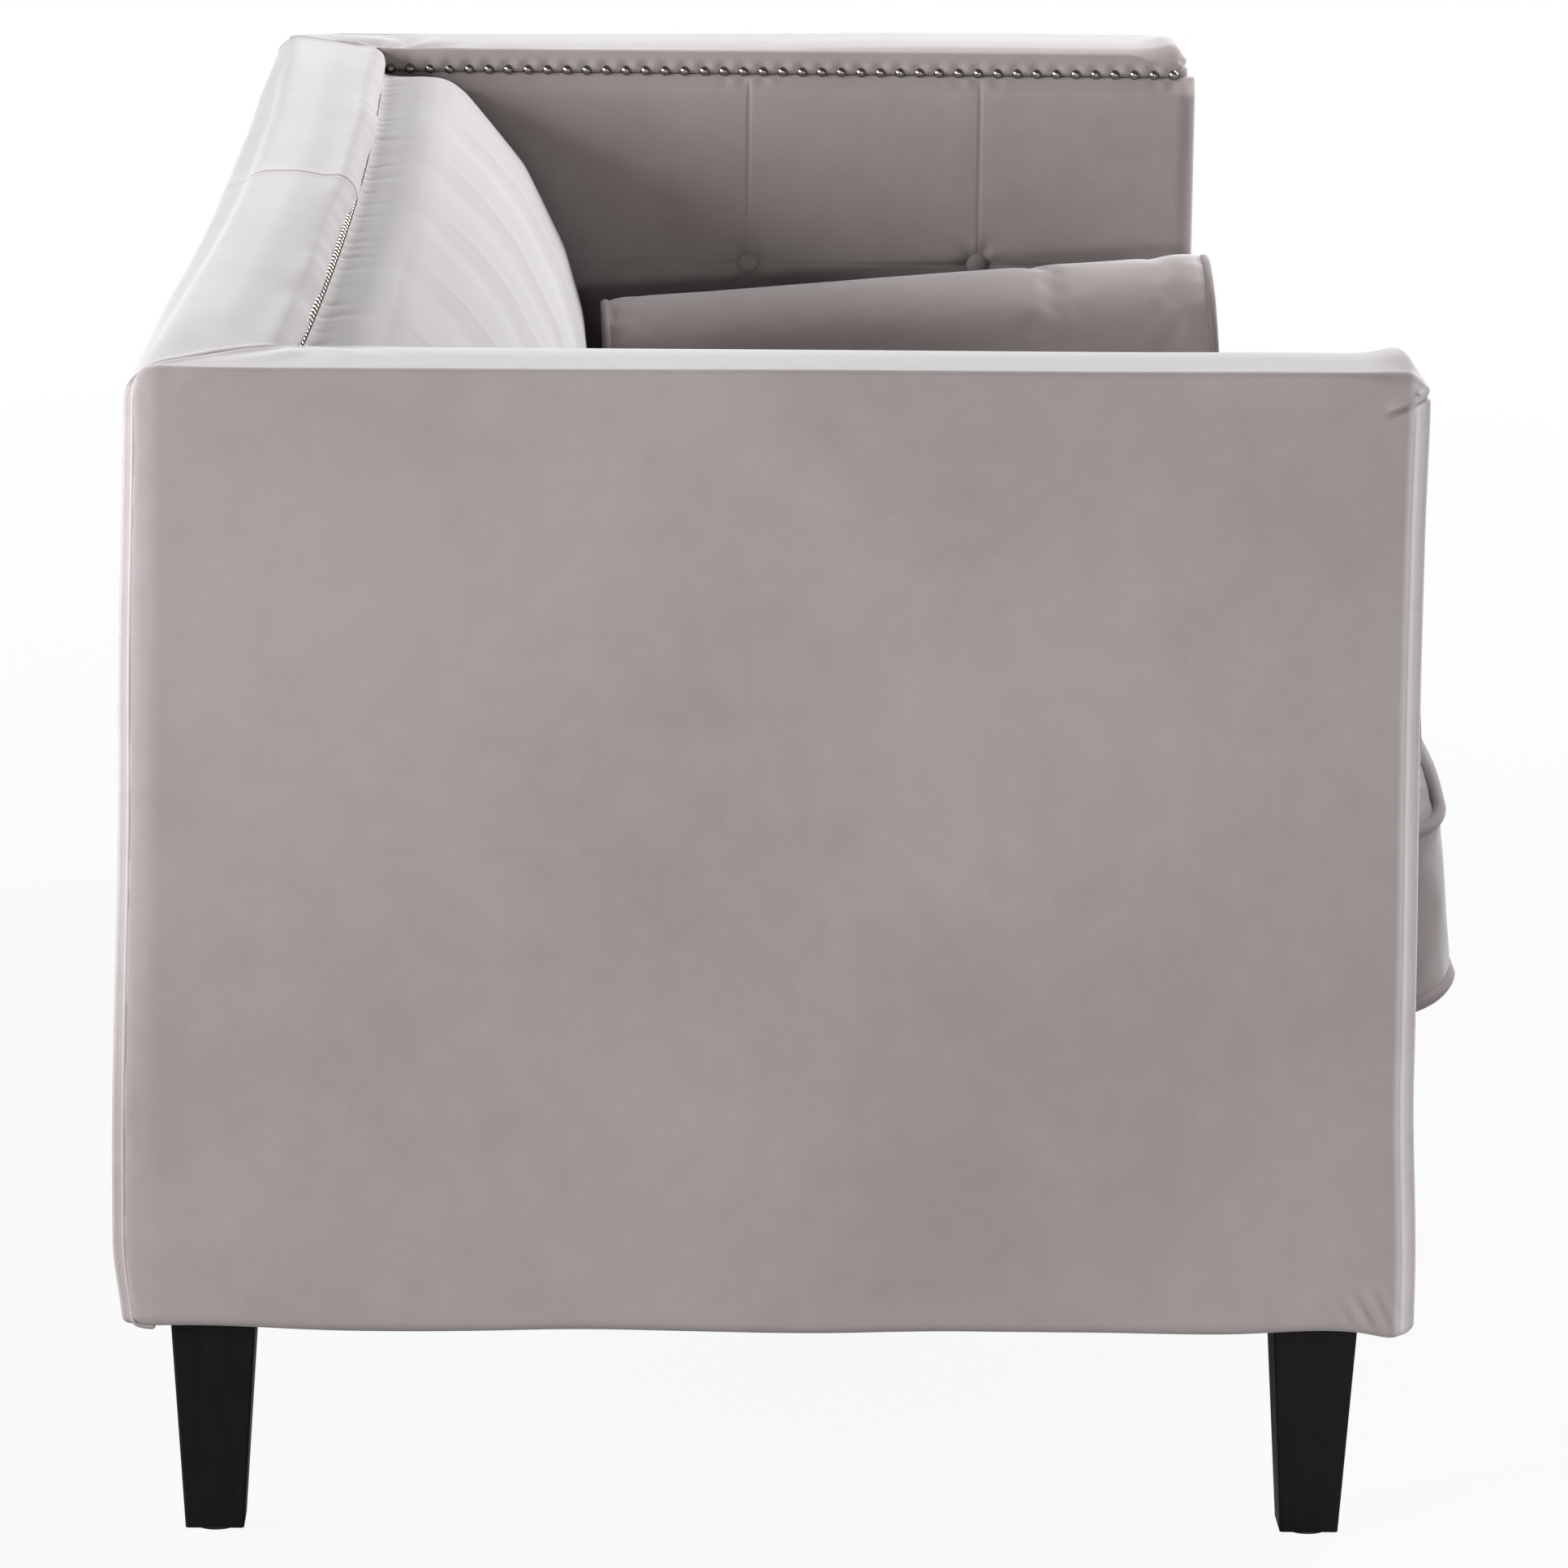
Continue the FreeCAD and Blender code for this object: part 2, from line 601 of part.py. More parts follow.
def piping_loop(outline):
    start = outline.OrderedEdges[0]
    at = start.valueAt(start.FirstParameter)
    ring = Part.makeCircle(piping_r, at, start.tangentAt(start.FirstParameter))
    return outline.makePipeShell([Part.Wire(ring)], True, False)


cushion_names = {3: ["left", "centre", "right"]}.get(
    cushion_count, ["place_" + str(i + 1) for i in range(cushion_count)])
for index, name in enumerate(cushion_names):
    x0 = -seat_half + index * (cell_width + cushion_gap) + piping_r
    x1 = x0 + cell_width - 2 * piping_r
    outline = cushion_outline(x0, x1, seat_front, seat_rear, 0.0)
    prism = Part.Face(outline).extrude(Vector(0, 0, cushion_top + cushion_crown + 20))
    cushion = prism.common(crown_block(x0, x1, seat_front, seat_rear))
    write(name + "_seat_cushion", on_seat(cushion))
    loops = []
    for z in (piping_r + cushion_base, cushion_top):
        loops.append(on_seat(piping_loop(cushion_outline(x0, x1, seat_front, seat_rear, z))))
    write(name + "_seat_piping", *loops)

# Bolsters: one at each arm, lying front to back on the end cushions

body_r = bolster_diameter / 2
end_r = bolster_end_diameter / 2 - piping_r
bolster_rest = cushion_top + cushion_crown + soft_gap + body_r
bolster_x = -seat_half + body_r


def bolster_point(radius, v):
    return Vector(bolster_x + radius, v, bolster_rest)


def shoulder_arc(end_v, way):
    """From a piped end to the full body, curving like the edge of a stuffed case."""
    rise = body_r - end_r
    return arc(bolster_point(end_r, end_v),
               bolster_point(end_r + 0.75 * rise, end_v + way * bolster_shoulder * 0.4),
               bolster_point(body_r, end_v + way * bolster_shoulder))


def dome_arc(end_v, way):
    return arc(bolster_point(0, end_v - way * bolster_dome),
               bolster_point(end_r * 0.7, end_v - way * bolster_dome * 0.5),
               bolster_point(end_r, end_v))


def bolster_pieces(gap):
    """A left-hand bolster and its two piped rings, this far in front of the back pad."""
    rear = (belly_y - gap - bolster_dome - apron_y) / math.cos(pitch)
    rear = rear - (bolster_rest + body_r) * math.sin(pitch)
    front = rear - bolster_length
    body_front = bolster_point(body_r, front + bolster_shoulder)
    body_rear = bolster_point(body_r, rear - bolster_shoulder)
    axis = line(bolster_point(0, rear + bolster_dome), bolster_point(0, front - bolster_dome))
    half_outline = Part.Wire([dome_arc(front, 1), shoulder_arc(front, 1), line(body_front, body_rear),
                              shoulder_arc(rear, -1), dome_arc(rear, -1), axis])
    along = Vector(0, 1, 0)
    body = Part.Face(half_outline).revolve(bolster_point(0, 0), along, 360)
    rings = [Part.makeTorus(end_r, piping_r, bolster_point(0, v), along) for v in (front, rear)]
    return on_seat(body), on_seat(Part.makeCompound(rings))


left_body, left_rings = bolster_pieces(left_bolster_gap)
right_body, right_rings = bolster_pieces(right_bolster_gap)
write("left_bolster", left_body)
write("left_bolster_piping", left_rings)
write("right_bolster", other_end(right_body))
write("right_bolster_piping", other_end(right_rings))
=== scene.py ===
# %% [markdown]
# # A velvet sofa over its CAD frame
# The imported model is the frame: it says where every part of the sofa is, in metres, with the front
# towards -Y. Nothing of it is moved here. Hard parts keep their CAD shape and get a finish. Each
# soft part is replaced by a piece that looks like stuffed velvet.

# %% Load the frame
import json
import math
import bmesh
import bpy
import numpy as np
from mathutils import Matrix, Vector


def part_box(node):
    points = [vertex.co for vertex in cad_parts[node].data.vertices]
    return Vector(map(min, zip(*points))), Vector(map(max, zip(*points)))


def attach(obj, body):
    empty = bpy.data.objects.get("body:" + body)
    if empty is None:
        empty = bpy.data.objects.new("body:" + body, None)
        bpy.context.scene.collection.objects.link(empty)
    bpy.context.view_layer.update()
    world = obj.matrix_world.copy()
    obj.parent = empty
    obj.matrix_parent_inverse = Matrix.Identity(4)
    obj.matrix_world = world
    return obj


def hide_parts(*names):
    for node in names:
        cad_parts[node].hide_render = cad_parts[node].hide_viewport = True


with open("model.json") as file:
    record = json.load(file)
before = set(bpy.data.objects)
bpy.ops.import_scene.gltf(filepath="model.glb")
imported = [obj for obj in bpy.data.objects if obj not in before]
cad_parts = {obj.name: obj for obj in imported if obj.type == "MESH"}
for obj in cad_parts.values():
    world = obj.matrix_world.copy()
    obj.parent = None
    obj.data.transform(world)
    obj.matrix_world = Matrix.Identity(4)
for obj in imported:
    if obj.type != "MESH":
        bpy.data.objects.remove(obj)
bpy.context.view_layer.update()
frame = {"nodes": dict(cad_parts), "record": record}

# %% [markdown]
# The camera stands a little behind the left arm and looks along the sofa with a long lens, so the
# near arm fills most of the picture. Its place and turn were solved from the corners of the arms
# and the back, which is quicker and steadier than nudging it by eye.

# %% Camera
def stand_camera(place, turn, tip, lean, focal_pixels, image=1932):
    """Turn is measured from +X towards -Y, tip is down when negative, lean rolls the picture."""
    turn, tip, lean = (math.radians(a) for a in (turn, tip, lean))
    ahead = Vector((math.cos(tip) * math.cos(turn), -math.cos(tip) * math.sin(turn), math.sin(tip)))
    right = ahead.cross(Vector((0, 0, 1))).normalized()
    up = right.cross(ahead)
    right, up = (math.cos(lean) * right + math.sin(lean) * up,
                 math.cos(lean) * up - math.sin(lean) * right)
    eye = bpy.data.cameras.new("camera")
    eye.sensor_width = 36.0
    eye.lens = 36.0 * focal_pixels / image
    eye.clip_end = 60.0
    stand = bpy.data.objects.new("camera", eye)
    bpy.context.collection.objects.link(stand)
    stand.matrix_world = Matrix((right, up, -ahead)).transposed().to_4x4()
    stand.location = place
    bpy.context.scene.camera = stand
    return eye


lens = stand_camera((-5.327, 0.1225, 1.390), 1.43, -11.74, 0.67, 8799).lens
print("camera lens", round(lens, 1), "mm")

# %% [markdown]
# Shader graphs are easier to read as sums than as boxes and wires. This class wraps one output
# socket, so that `1 - mask * 0.3` adds its Math nodes by itself. Any other node comes from `node`,
# and the two helpers after it use that for noise and for mixing colours.

# %% Shader arithmetic
class Wire:
    """One output socket of a shader tree, or only the tree."""

    def __init__(self, tree, socket=None):
        self.tree = tree
        self.socket = socket

    def node(self, kind, settings=(), sockets=(), out=0):
        made = self.tree.nodes.new("ShaderNode" + kind)
        for name, value in dict(settings).items():
            setattr(made, name, value)
        for name, value in dict(sockets).items():
            if isinstance(value, Wire):
                self.tree.links.new(value.socket, made.inputs[name])
            else:
                made.inputs[name].default_value = value
        return Wire(self.tree, made.outputs[out] if made.outputs else None)

    def maths(self, operation, *terms):
        return self.node("Math", {"operation": operation}, dict(enumerate(terms)))

    def __add__(self, other):
        return self.maths("ADD", self, other)

    def __sub__(self, other):
        return self.maths("SUBTRACT", self, other)

    def __rsub__(self, other):
        return self.maths("SUBTRACT", other, self)

    def __mul__(self, other):
        return self.maths("MULTIPLY", self, other)

    def __pow__(self, other):
        return self.maths("POWER", self, other)

    __radd__ = __add__
    __rmul__ = __mul__


def noise(place, scale, detail, roughness=0.5):
    return place.node("TexNoise", {}, {"Vector": place, "Scale": scale, "Detail": detail,
                                       "Roughness": roughness})


def blend(share, first, second):
    """Two colours mixed. Each is a plain colour or a Wire."""
    ends = {k: c if isinstance(c, Wire) else (*c, 1) for k, c in ((6, first), (7, second))}
    return share.node("Mix", {"data_type": "RGBA"}, {0: share, **ends}, out=2)


def new_finish(name, **fixed):
    """A material with its constant sockets set, the place on the piece, and the shader."""
    finish = bpy.data.materials.new(name)
    finish.use_nodes = True
    shader = finish.node_tree.nodes["Principled BSDF"]
    for socket, value in fixed.items():
        shader.inputs[socket.replace("_", " ")].default_value = value
    return finish, Wire(finish.node_tree).node("TexCoord", out="Object"), shader


def feed(shader, **sockets):
    for socket, value in sockets.items():
        value.tree.links.new(value.socket, shader.inputs[socket.replace("_", " ")])


def bump(height, strength, distance):
    return height.node("Bump", {}, {"Height": height, "Strength": strength, "Distance": distance})


print("shader helpers ready")

# %% [markdown]
# Velvet is a short, dense pile. Seen straight on, light sinks between the fibres and the cloth is a
# deep warm grey. Seen along the surface, the fibre tips catch the light and it turns pale: sheen
# gives part of that, and the rest is painted sheen, a pale colour mixed into the base colour by the
# facing angle. The pile leans differently from place to place, so a broad, soft noise shifts the
# grey, and a very fine noise stands for the fibres. Along the covers' front and rear edges the
# colour is painted paler, a painted highlight, as much as each piece's per-point values say.

# %% Velvet
PAINTED_SHEEN_COLOUR, EDGE_HIGHLIGHT_COLOUR = (0.64, 0.655, 0.68), (0.53, 0.49, 0.50)


def velvet(name, dark, pale, sheen=0.15, painted_sheen=0.55):
    finish, place, shader = new_finish(name, Sheen_Weight=sheen, Sheen_Roughness=0.30,
                                       Sheen_Tint=(0.94, 0.97, 1.0, 1.0), Specular_IOR_Level=0.10)
    lean, brush = noise(place, 4.0, 4.0), noise(place, 38.0, 4.0, 0.6)
    fibre = noise(place, 1300.0, 2.0)
    nap = lean * 0.55 + brush * 0.25 + fibre * 0.2
    share = place.node("MapRange", {"interpolation_type": "SMOOTHSTEP"},
                       {"Value": nap, "From Min": 0.33, "From Max": 0.67})
    # Painted highlight: the colour is painted paler where a piece's per-point values say so.
    rub = place.node("Attribute", {"attribute_name": "rub"}, out="Fac")
    highlighted = blend(rub * (0.7 + 0.6 * brush), blend(share, dark, pale), EDGE_HIGHLIGHT_COLOUR)
    # Painted sheen: the base colour turns to a pale colour at grazing angles.
    along = place.node("LayerWeight", {}, {"Blend": 0.5}, out="Facing")
    feed(shader, Base_Color=blend(along ** 4 * painted_sheen, highlighted, PAINTED_SHEEN_COLOUR),
         Roughness=0.78 + 0.16 * (1 - nap), Normal=bump(fibre * 0.7 + brush * 0.3, 0.22, 0.0006))
    return finish


grey_velvet = velvet("grey_velvet", (0.268, 0.231, 0.230), (0.316, 0.284, 0.279))
# Painted shade: the piping's velvet is a darker copy of the same cloth.
shaded_welt_velvet = velvet("shaded_welt_velvet", (0.200, 0.172, 0.174), (0.238, 0.207, 0.208), 0.2, 0.25)
print("velvet:", grey_velvet.name, shaded_welt_velvet.name)

# %% [markdown]
# The hard parts keep their CAD shape, so they only need a finish. The legs are stained nearly black
# under a satin lacquer, the nails are polished nickel, and the timber, springs and cloth underneath
# are plain workshop materials that show only when the sofa is turned over or a cushion is lifted.

# %% Hard finishes
def lacquered_wood():
    finish, place, shader = new_finish("black_lacquer", Coat_Roughness=0.3, Coat_Weight=0.05,
                                       Specular_IOR_Level=0.12)
    long_grain = place.node("Mapping", {}, {"Vector": place, "Scale": (60.0, 60.0, 5.0)})
    grain = noise(long_grain, 3.0, 6.0, 0.65)
    feed(shader, Base_Color=blend(grain, (0.003, 0.0027, 0.0025), (0.008, 0.007, 0.006)),
         Roughness=0.34 + grain * 0.14, Normal=bump(grain, 0.12, 0.0004))
    return finish


def polished_nickel():
    finish, place, shader = new_finish("polished_nickel", Metallic=1.0,
                                       Specular_Tint=(0.42, 0.40, 0.37, 1.0))
    haze = noise(place, 420.0, 3.0)
    feed(shader, Base_Color=blend(haze, (0.27, 0.248, 0.215), (0.34, 0.315, 0.278)),
         Roughness=0.22 + haze * 0.08)
    return finish


def plain_timber(name, dark, pale):
    finish, place, shader = new_finish(name)
    stretched = place.node("Mapping", {}, {"Vector": place, "Scale": (2.0, 26.0, 26.0)})
    rings = place.node("TexWave", {"wave_type": "BANDS", "bands_direction": "DIAGONAL"},
                       {"Vector": stretched, "Scale": 1.6, "Distortion": 7.0, "Detail": 3.0},
                       out="Fac")
    feed(shader, Base_Color=blend(rings, dark, pale), Roughness=0.62 + rings * 0.12)
    return finish


def woven(name, dark, pale, threads):
    """Plain cloth or strap: two sets of threads that cross."""
    finish, place, shader = new_finish(name)
    warp, weft = (place.node("TexWave", {"bands_direction": way},
                             {"Vector": place, "Scale": threads}, out="Fac") for way in "XY")
    weave = warp.maths("MAXIMUM", warp, weft)
    feed(shader, Base_Color=blend(weave, dark, pale), Roughness=0.85 + weave * 0.1,
         Normal=bump(weave, 0.3, 0.0005))
    return finish


def speckled(name, dark, pale, roughness, metallic=0.0):
    """Zinc plating, moulded plastic or thread: one colour with a fine uneven surface."""
    finish, place, shader = new_finish(name, Metallic=metallic)
    speck = noise(place, 260.0, 4.0)
    feed(shader, Base_Color=blend(speck, dark, pale), Roughness=roughness + speck * 0.2)
    return finish


slot_finish = {
    "velvet": grey_velvet, "piping": grey_velvet,
    "leg_wood": lacquered_wood(), "nail_metal": polished_nickel(),
    "frame_wood": plain_timber("sawn_pine", (0.42, 0.27, 0.14), (0.62, 0.45, 0.27)),
    "panel_board": plain_timber("hardboard", (0.16, 0.10, 0.06), (0.24, 0.16, 0.10)),
    "deck_cloth": woven("platform_cloth", (0.20, 0.185, 0.185), (0.30, 0.28, 0.28), 420.0),
    "dust_cloth": woven("dust_cloth", (0.010, 0.010, 0.011), (0.030, 0.030, 0.032), 380.0),
    "webbing": woven("jute_strap", (0.25, 0.18, 0.10), (0.45, 0.35, 0.21), 300.0),
    "steel": speckled("zinc_plate", (0.42, 0.42, 0.44), (0.60, 0.60, 0.62), 0.28, 1.0),
    "glide_plastic": speckled("moulded_plastic", (0.020, 0.020, 0.021), (0.045, 0.045, 0.046),
                              0.45),
}
for entry in frame["record"]["subparts"]:
    node = frame["nodes"][entry["node"]]
    node.data.materials.clear()
    node.data.materials.append(slot_finish[entry["material_slot"]])
print("finishes:", sorted(slot_finish))

# %% [markdown]
# The covers and pads are built from grids of points in millimetres, because a grid can follow a
# rounded box closely and still be pushed in and out where a seam, a nail or a fold pulls the cloth.
# These helpers space the grid lines, round a box off, and sew the grids into one mesh.

# %% Grid helpers
MM = 0.001


def cad(node):
    """The box of a CAD node, in mm."""
    return np.array(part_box(node)) / MM


def lines(low, high, step, near=(), fine=2.0, reach=18.0):
    """Grid lines from low to high, closer together near the places listed."""
    at = np.linspace(low, high, 3000)
    density = np.full_like(at, 1 / step)
    for place in near:
        density += (1 / fine - 1 / step) * np.exp(-((at - place) / reach) ** 2)
    total = np.concatenate([[0], np.cumsum((density[1:] + density[:-1]) / 2 * np.diff(at))])
    count = max(2, math.ceil(total[-1]) + 1)
    return np.interp(np.linspace(0, total[-1], count), total, at)


def lattice(rows, columns, place):
    r, c = np.meshgrid(rows, columns, indexing="ij")
    return np.stack(np.broadcast_arrays(*place(r, c)), -1).astype(float)


def rounded(p, low, high, soft_low, soft_high):
    """Points on a box moved onto the same box with soft edges, and the way each one faces."""
    core = np.clip(p, low + soft_low, high - soft_high)
    reach = np.where(p < core, soft_low, soft_high)
    way = (p - core) / reach
    way = way / np.maximum(np.linalg.norm(way, axis=-1, keepdims=True), 1e-9)
    return core + way * reach, way


def ramp(value, start, end):
    t = np.clip((value - start) / (end - start), 0, 1)
    return t * t * (3 - 2 * t)


def bell(value, width):
    return np.exp(-(value / width) ** 2)


def drift(u, v, size, seed):
    """Smooth noise from -1 to 1, with bumps about `size` apart."""
    table = np.random.default_rng(seed).uniform(-1, 1, (61, 61))
    u, v = np.broadcast_arrays(np.asarray(u) / size, np.asarray(v) / size)
    iu, iv = np.floor(u).astype(int), np.floor(v).astype(int)
    fu, fv = ((f ** 3) * (f * (f * 6 - 15) + 10) for f in (u - iu, v - iv))
    a, b = table[iu % 61, iv % 61], table[(iu + 1) % 61, iv % 61]
    c, d = table[iu % 61, (iv + 1) % 61], table[(iu + 1) % 61, (iv + 1) % 61]
    return (a * (1 - fu) + b * fu) * (1 - fv) + (c * (1 - fu) + d * fu) * fv


class Patchwork:
    """Grids of points sewn into one piece."""

    def __init__(self):
        self.points, self.quads, self.rubs, self.total = [], [], [], 0

    # The last argument is a painted highlight: how much paler the velvet is painted at each point.
    def add(self, grid, outward=None, rub=0.0):
        rows, columns = grid.shape[:2]
        index = np.arange(rows * columns).reshape(rows, columns) + self.total
        quads = [index[:-1, :-1], index[1:, :-1], index[1:, 1:], index[:-1, 1:]]
        quads = np.stack(quads, -1).reshape(-1, 4)
        facing = np.cross(grid[1:, :-1] - grid[:-1, :-1], grid[:-1, 1:] - grid[:-1, :-1])
        if outward is not None and (facing * np.asarray(outward, float)).sum() < 0:
            quads = quads[:, ::-1]
        self.points.append(grid.reshape(-1, 3))
        self.quads.append(quads)
        self.rubs.append(np.broadcast_to(rub, grid.shape[:2]).ravel())
        self.total += rows * columns

    def slab(self, face, back, ahead, across, along):
        """A face and its back, closed at the four sides. The vectors say where the face, its last
        row and its last column look."""
        ahead, across, along = np.array([ahead, across, along], float)
        self.add(face, ahead)
        self.add(back, -ahead)
        for k, s in ((0, -1), (-1, 1)):
            self.add(np.stack([face[k], back[k]]), s * across)
            self.add(np.stack([face[:, k], back[:, k]]), s * along)

    def sew(self, name, mirrored=False):
        points = np.concatenate(self.points) * MM
        quads = np.concatenate(self.quads)
        if mirrored:
            points = points * [-1, 1, 1]
            quads = quads[:, ::-1]
        mesh = bpy.data.meshes.new(name)
        mesh.from_pydata(points.tolist(), [], quads.tolist())
        # The painted highlight goes onto the mesh as a point attribute.
        rub = mesh.attributes.new("rub", "FLOAT", "POINT")
        rub.data.foreach_set("value", np.concatenate(self.rubs))
        sewn = bmesh.new()
        sewn.from_mesh(mesh)
        bmesh.ops.remove_doubles(sewn, verts=sewn.verts, dist=0.00003)
        bmesh.ops.dissolve_degenerate(sewn, edges=sewn.edges, dist=0.000005)
        sewn.to_mesh(mesh)
        sewn.free()
        return mesh

    def piece(self, name, finish, body="frame", mirrored=False, wadding=0.0):
        made = dress(self.sew(name, mirrored), name, finish, body)
        if wadding:
            thick = made.modifiers.new("wadding", "SOLIDIFY")
            thick.thickness, thick.offset = wadding * MM, -1.0
        return made


def dress(mesh, name, finish, body):
    """A mesh made into a smooth, finished piece that moves with a body."""
    mesh.name = name
    mesh.shade_smooth()
    mesh.materials.append(finish)
    made = bpy.data.objects.new(name, mesh)
    bpy.context.collection.objects.link(made)
    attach(made, body)
    print(name, len(mesh.vertices), "points")
    return made


def stands_for(made, slot, *nodes, fill=None):
    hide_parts(*nodes)


print("grid helpers ready")

# %% [markdown]
# The outside is three covers: one over each arm and one over the back. They meet in a mitred seam
# that runs up the rear corner and across the top to the inner corner. Each cover wraps over the
# flat top, rolls down the inside and ends under the nails, so between the nails the cloth puffs out
# a little. A box with soft edges is the right start. Everything that makes it look sewn is a small
# push off that box: a groove at the seam, a soft roll, a wavy hem.

# %% Sizes of the covers
arm_box, back_box = cad("left_arm_cover"), cad("back_cover")
HALF, INNER = -arm_box[:, 0]
FRONT, REAR = arm_box[0, 1], back_box[1, 1]
HEM, TOP = arm_box[:, 2]
LIP = cad("back_top_board")[0, 1] - 10.0
BOW = LIP - back_box[0, 1]
HEAD = 4.5                           # radius of a nail
arm_nails, back_nails = cad("left_arm_nails"), cad("back_nails")
nail_rows = {"arm": (*(arm_nails[:, 1] + [HEAD, -HEAD]), 40),        # first, last, gaps between
             "back": (*(back_nails[:, 0] + [HEAD, -HEAD]), 104)}
NAIL = arm_nails[:, 2].mean()
EDGE = NAIL - 2.5                    # the cover's inner edge lies just under the nails
REAR_DRAW = 11.0                     # the back's top rear edge draws in by this in each of two steps


def mitre_y(x):
    return REAR - (HALF + x) * (REAR - LIP) / (HALF - INNER)


def from_mitre(x, y):
    """Distance in plan from the seam between an arm cover and the back cover."""
    along, across = REAR - LIP, HALF - INNER
    return np.abs((HALF - np.abs(x)) * along + (y - REAR) * across) / math.hypot(along, across)


def puff(along, row):
    """0 at each nail and 1 halfway between two nails."""
    first, last, count = nail_rows[row]
    return 0.5 - 0.5 * np.cos(2 * math.pi * (along - first) / (last - first) * count)


def edge_softness(p, low, high):
    """How far each edge is rounded off: more at the top front and rear corners, less between."""
    y, z = p[..., 1], p[..., 2]
    corner = np.maximum(ramp(y - FRONT, 55, 12), ramp(REAR - y, 60, 26))
    crisp = ramp(z, TOP - 45, TOP - 12) * (1 - corner)
    return low - crisp[..., None] * [4.5, 0, 0], high + corner[..., None] * [0, 0, 14.0]


def lip_bow(x):
    """The face under the nails of the back curves forwards at mid-length."""
    return BOW * np.clip(1 - (x / INNER) ** 2, 0, 1)


def bowed(p):
    """The back's top curves forwards at mid-length. Upright edges draw in above, swell below."""
    x, y, z = np.moveaxis(p, -1, 0)
    rearward = np.clip((y - LIP) / (REAR - LIP), 0, 1)
    draw = REAR_DRAW * (ramp(z, TOP - 60, TOP - 10) + ramp(z, TOP - 10, TOP - 3))
    pull = lip_bow(x) * (1 - rearward) * ramp(z, TOP - 60, TOP - 2)
    pull = pull + (1 - (x / HALF) ** 2) * rearward * draw
    rear = 4.6 * ramp(z, 520, 745) - 6.2 * ramp(z, 520, 235) * ramp(z, 140, 200)
    front = 3.2 * ramp(z, 300, 600) * (1 - 0.35 * ramp(z, 650, 745)) - 4.6 * ramp(z, 310, 175)
    front = front * ramp(y, FRONT + 80, FRONT + 10)
    front = front * (0.3 + 0.7 * ramp(np.abs(x), INNER, HALF - 40))
    shift = pull + rear * (x / HALF) ** 6 * rearward ** 2 - front
    return p - np.stack([0 * x, shift, 0 * x], -1)


def rail_edge(height, along, row):
    """How far the cloth stands out from the face that carries the nails."""
    tuck = 1.5 * bell(height - NAIL - 9, 6) - 4.5 * ramp(height, NAIL + 1, NAIL - 3.5)
    return tuck + 1.8 * puff(along, row) * bell(height - NAIL - 4, 4.5)


print("covers: half length", HALF, "front", FRONT, "rear", REAR, "nails at", NAIL)

# %% [markdown]
# On an arm the cloth has to turn a three-sided corner at the top front. The upholsterer folds the
# spare cloth into a small ear there, which shows as a bump on top and a dark pleat on the outside.
# Lower down, the hem drops a little at the front corner and puckers beside the leg.

# %% Arm covers
ARM_SOFT = np.array([8.0, 17.0, 8.0]), np.array([14.0, 26.0, 3.5])
LEG_Y = cad("leg_front_left")[:, 1].mean(), cad("leg_rear_left")[:, 1].mean()
EAR = 12.0                           # how far behind the front the ear stands highest


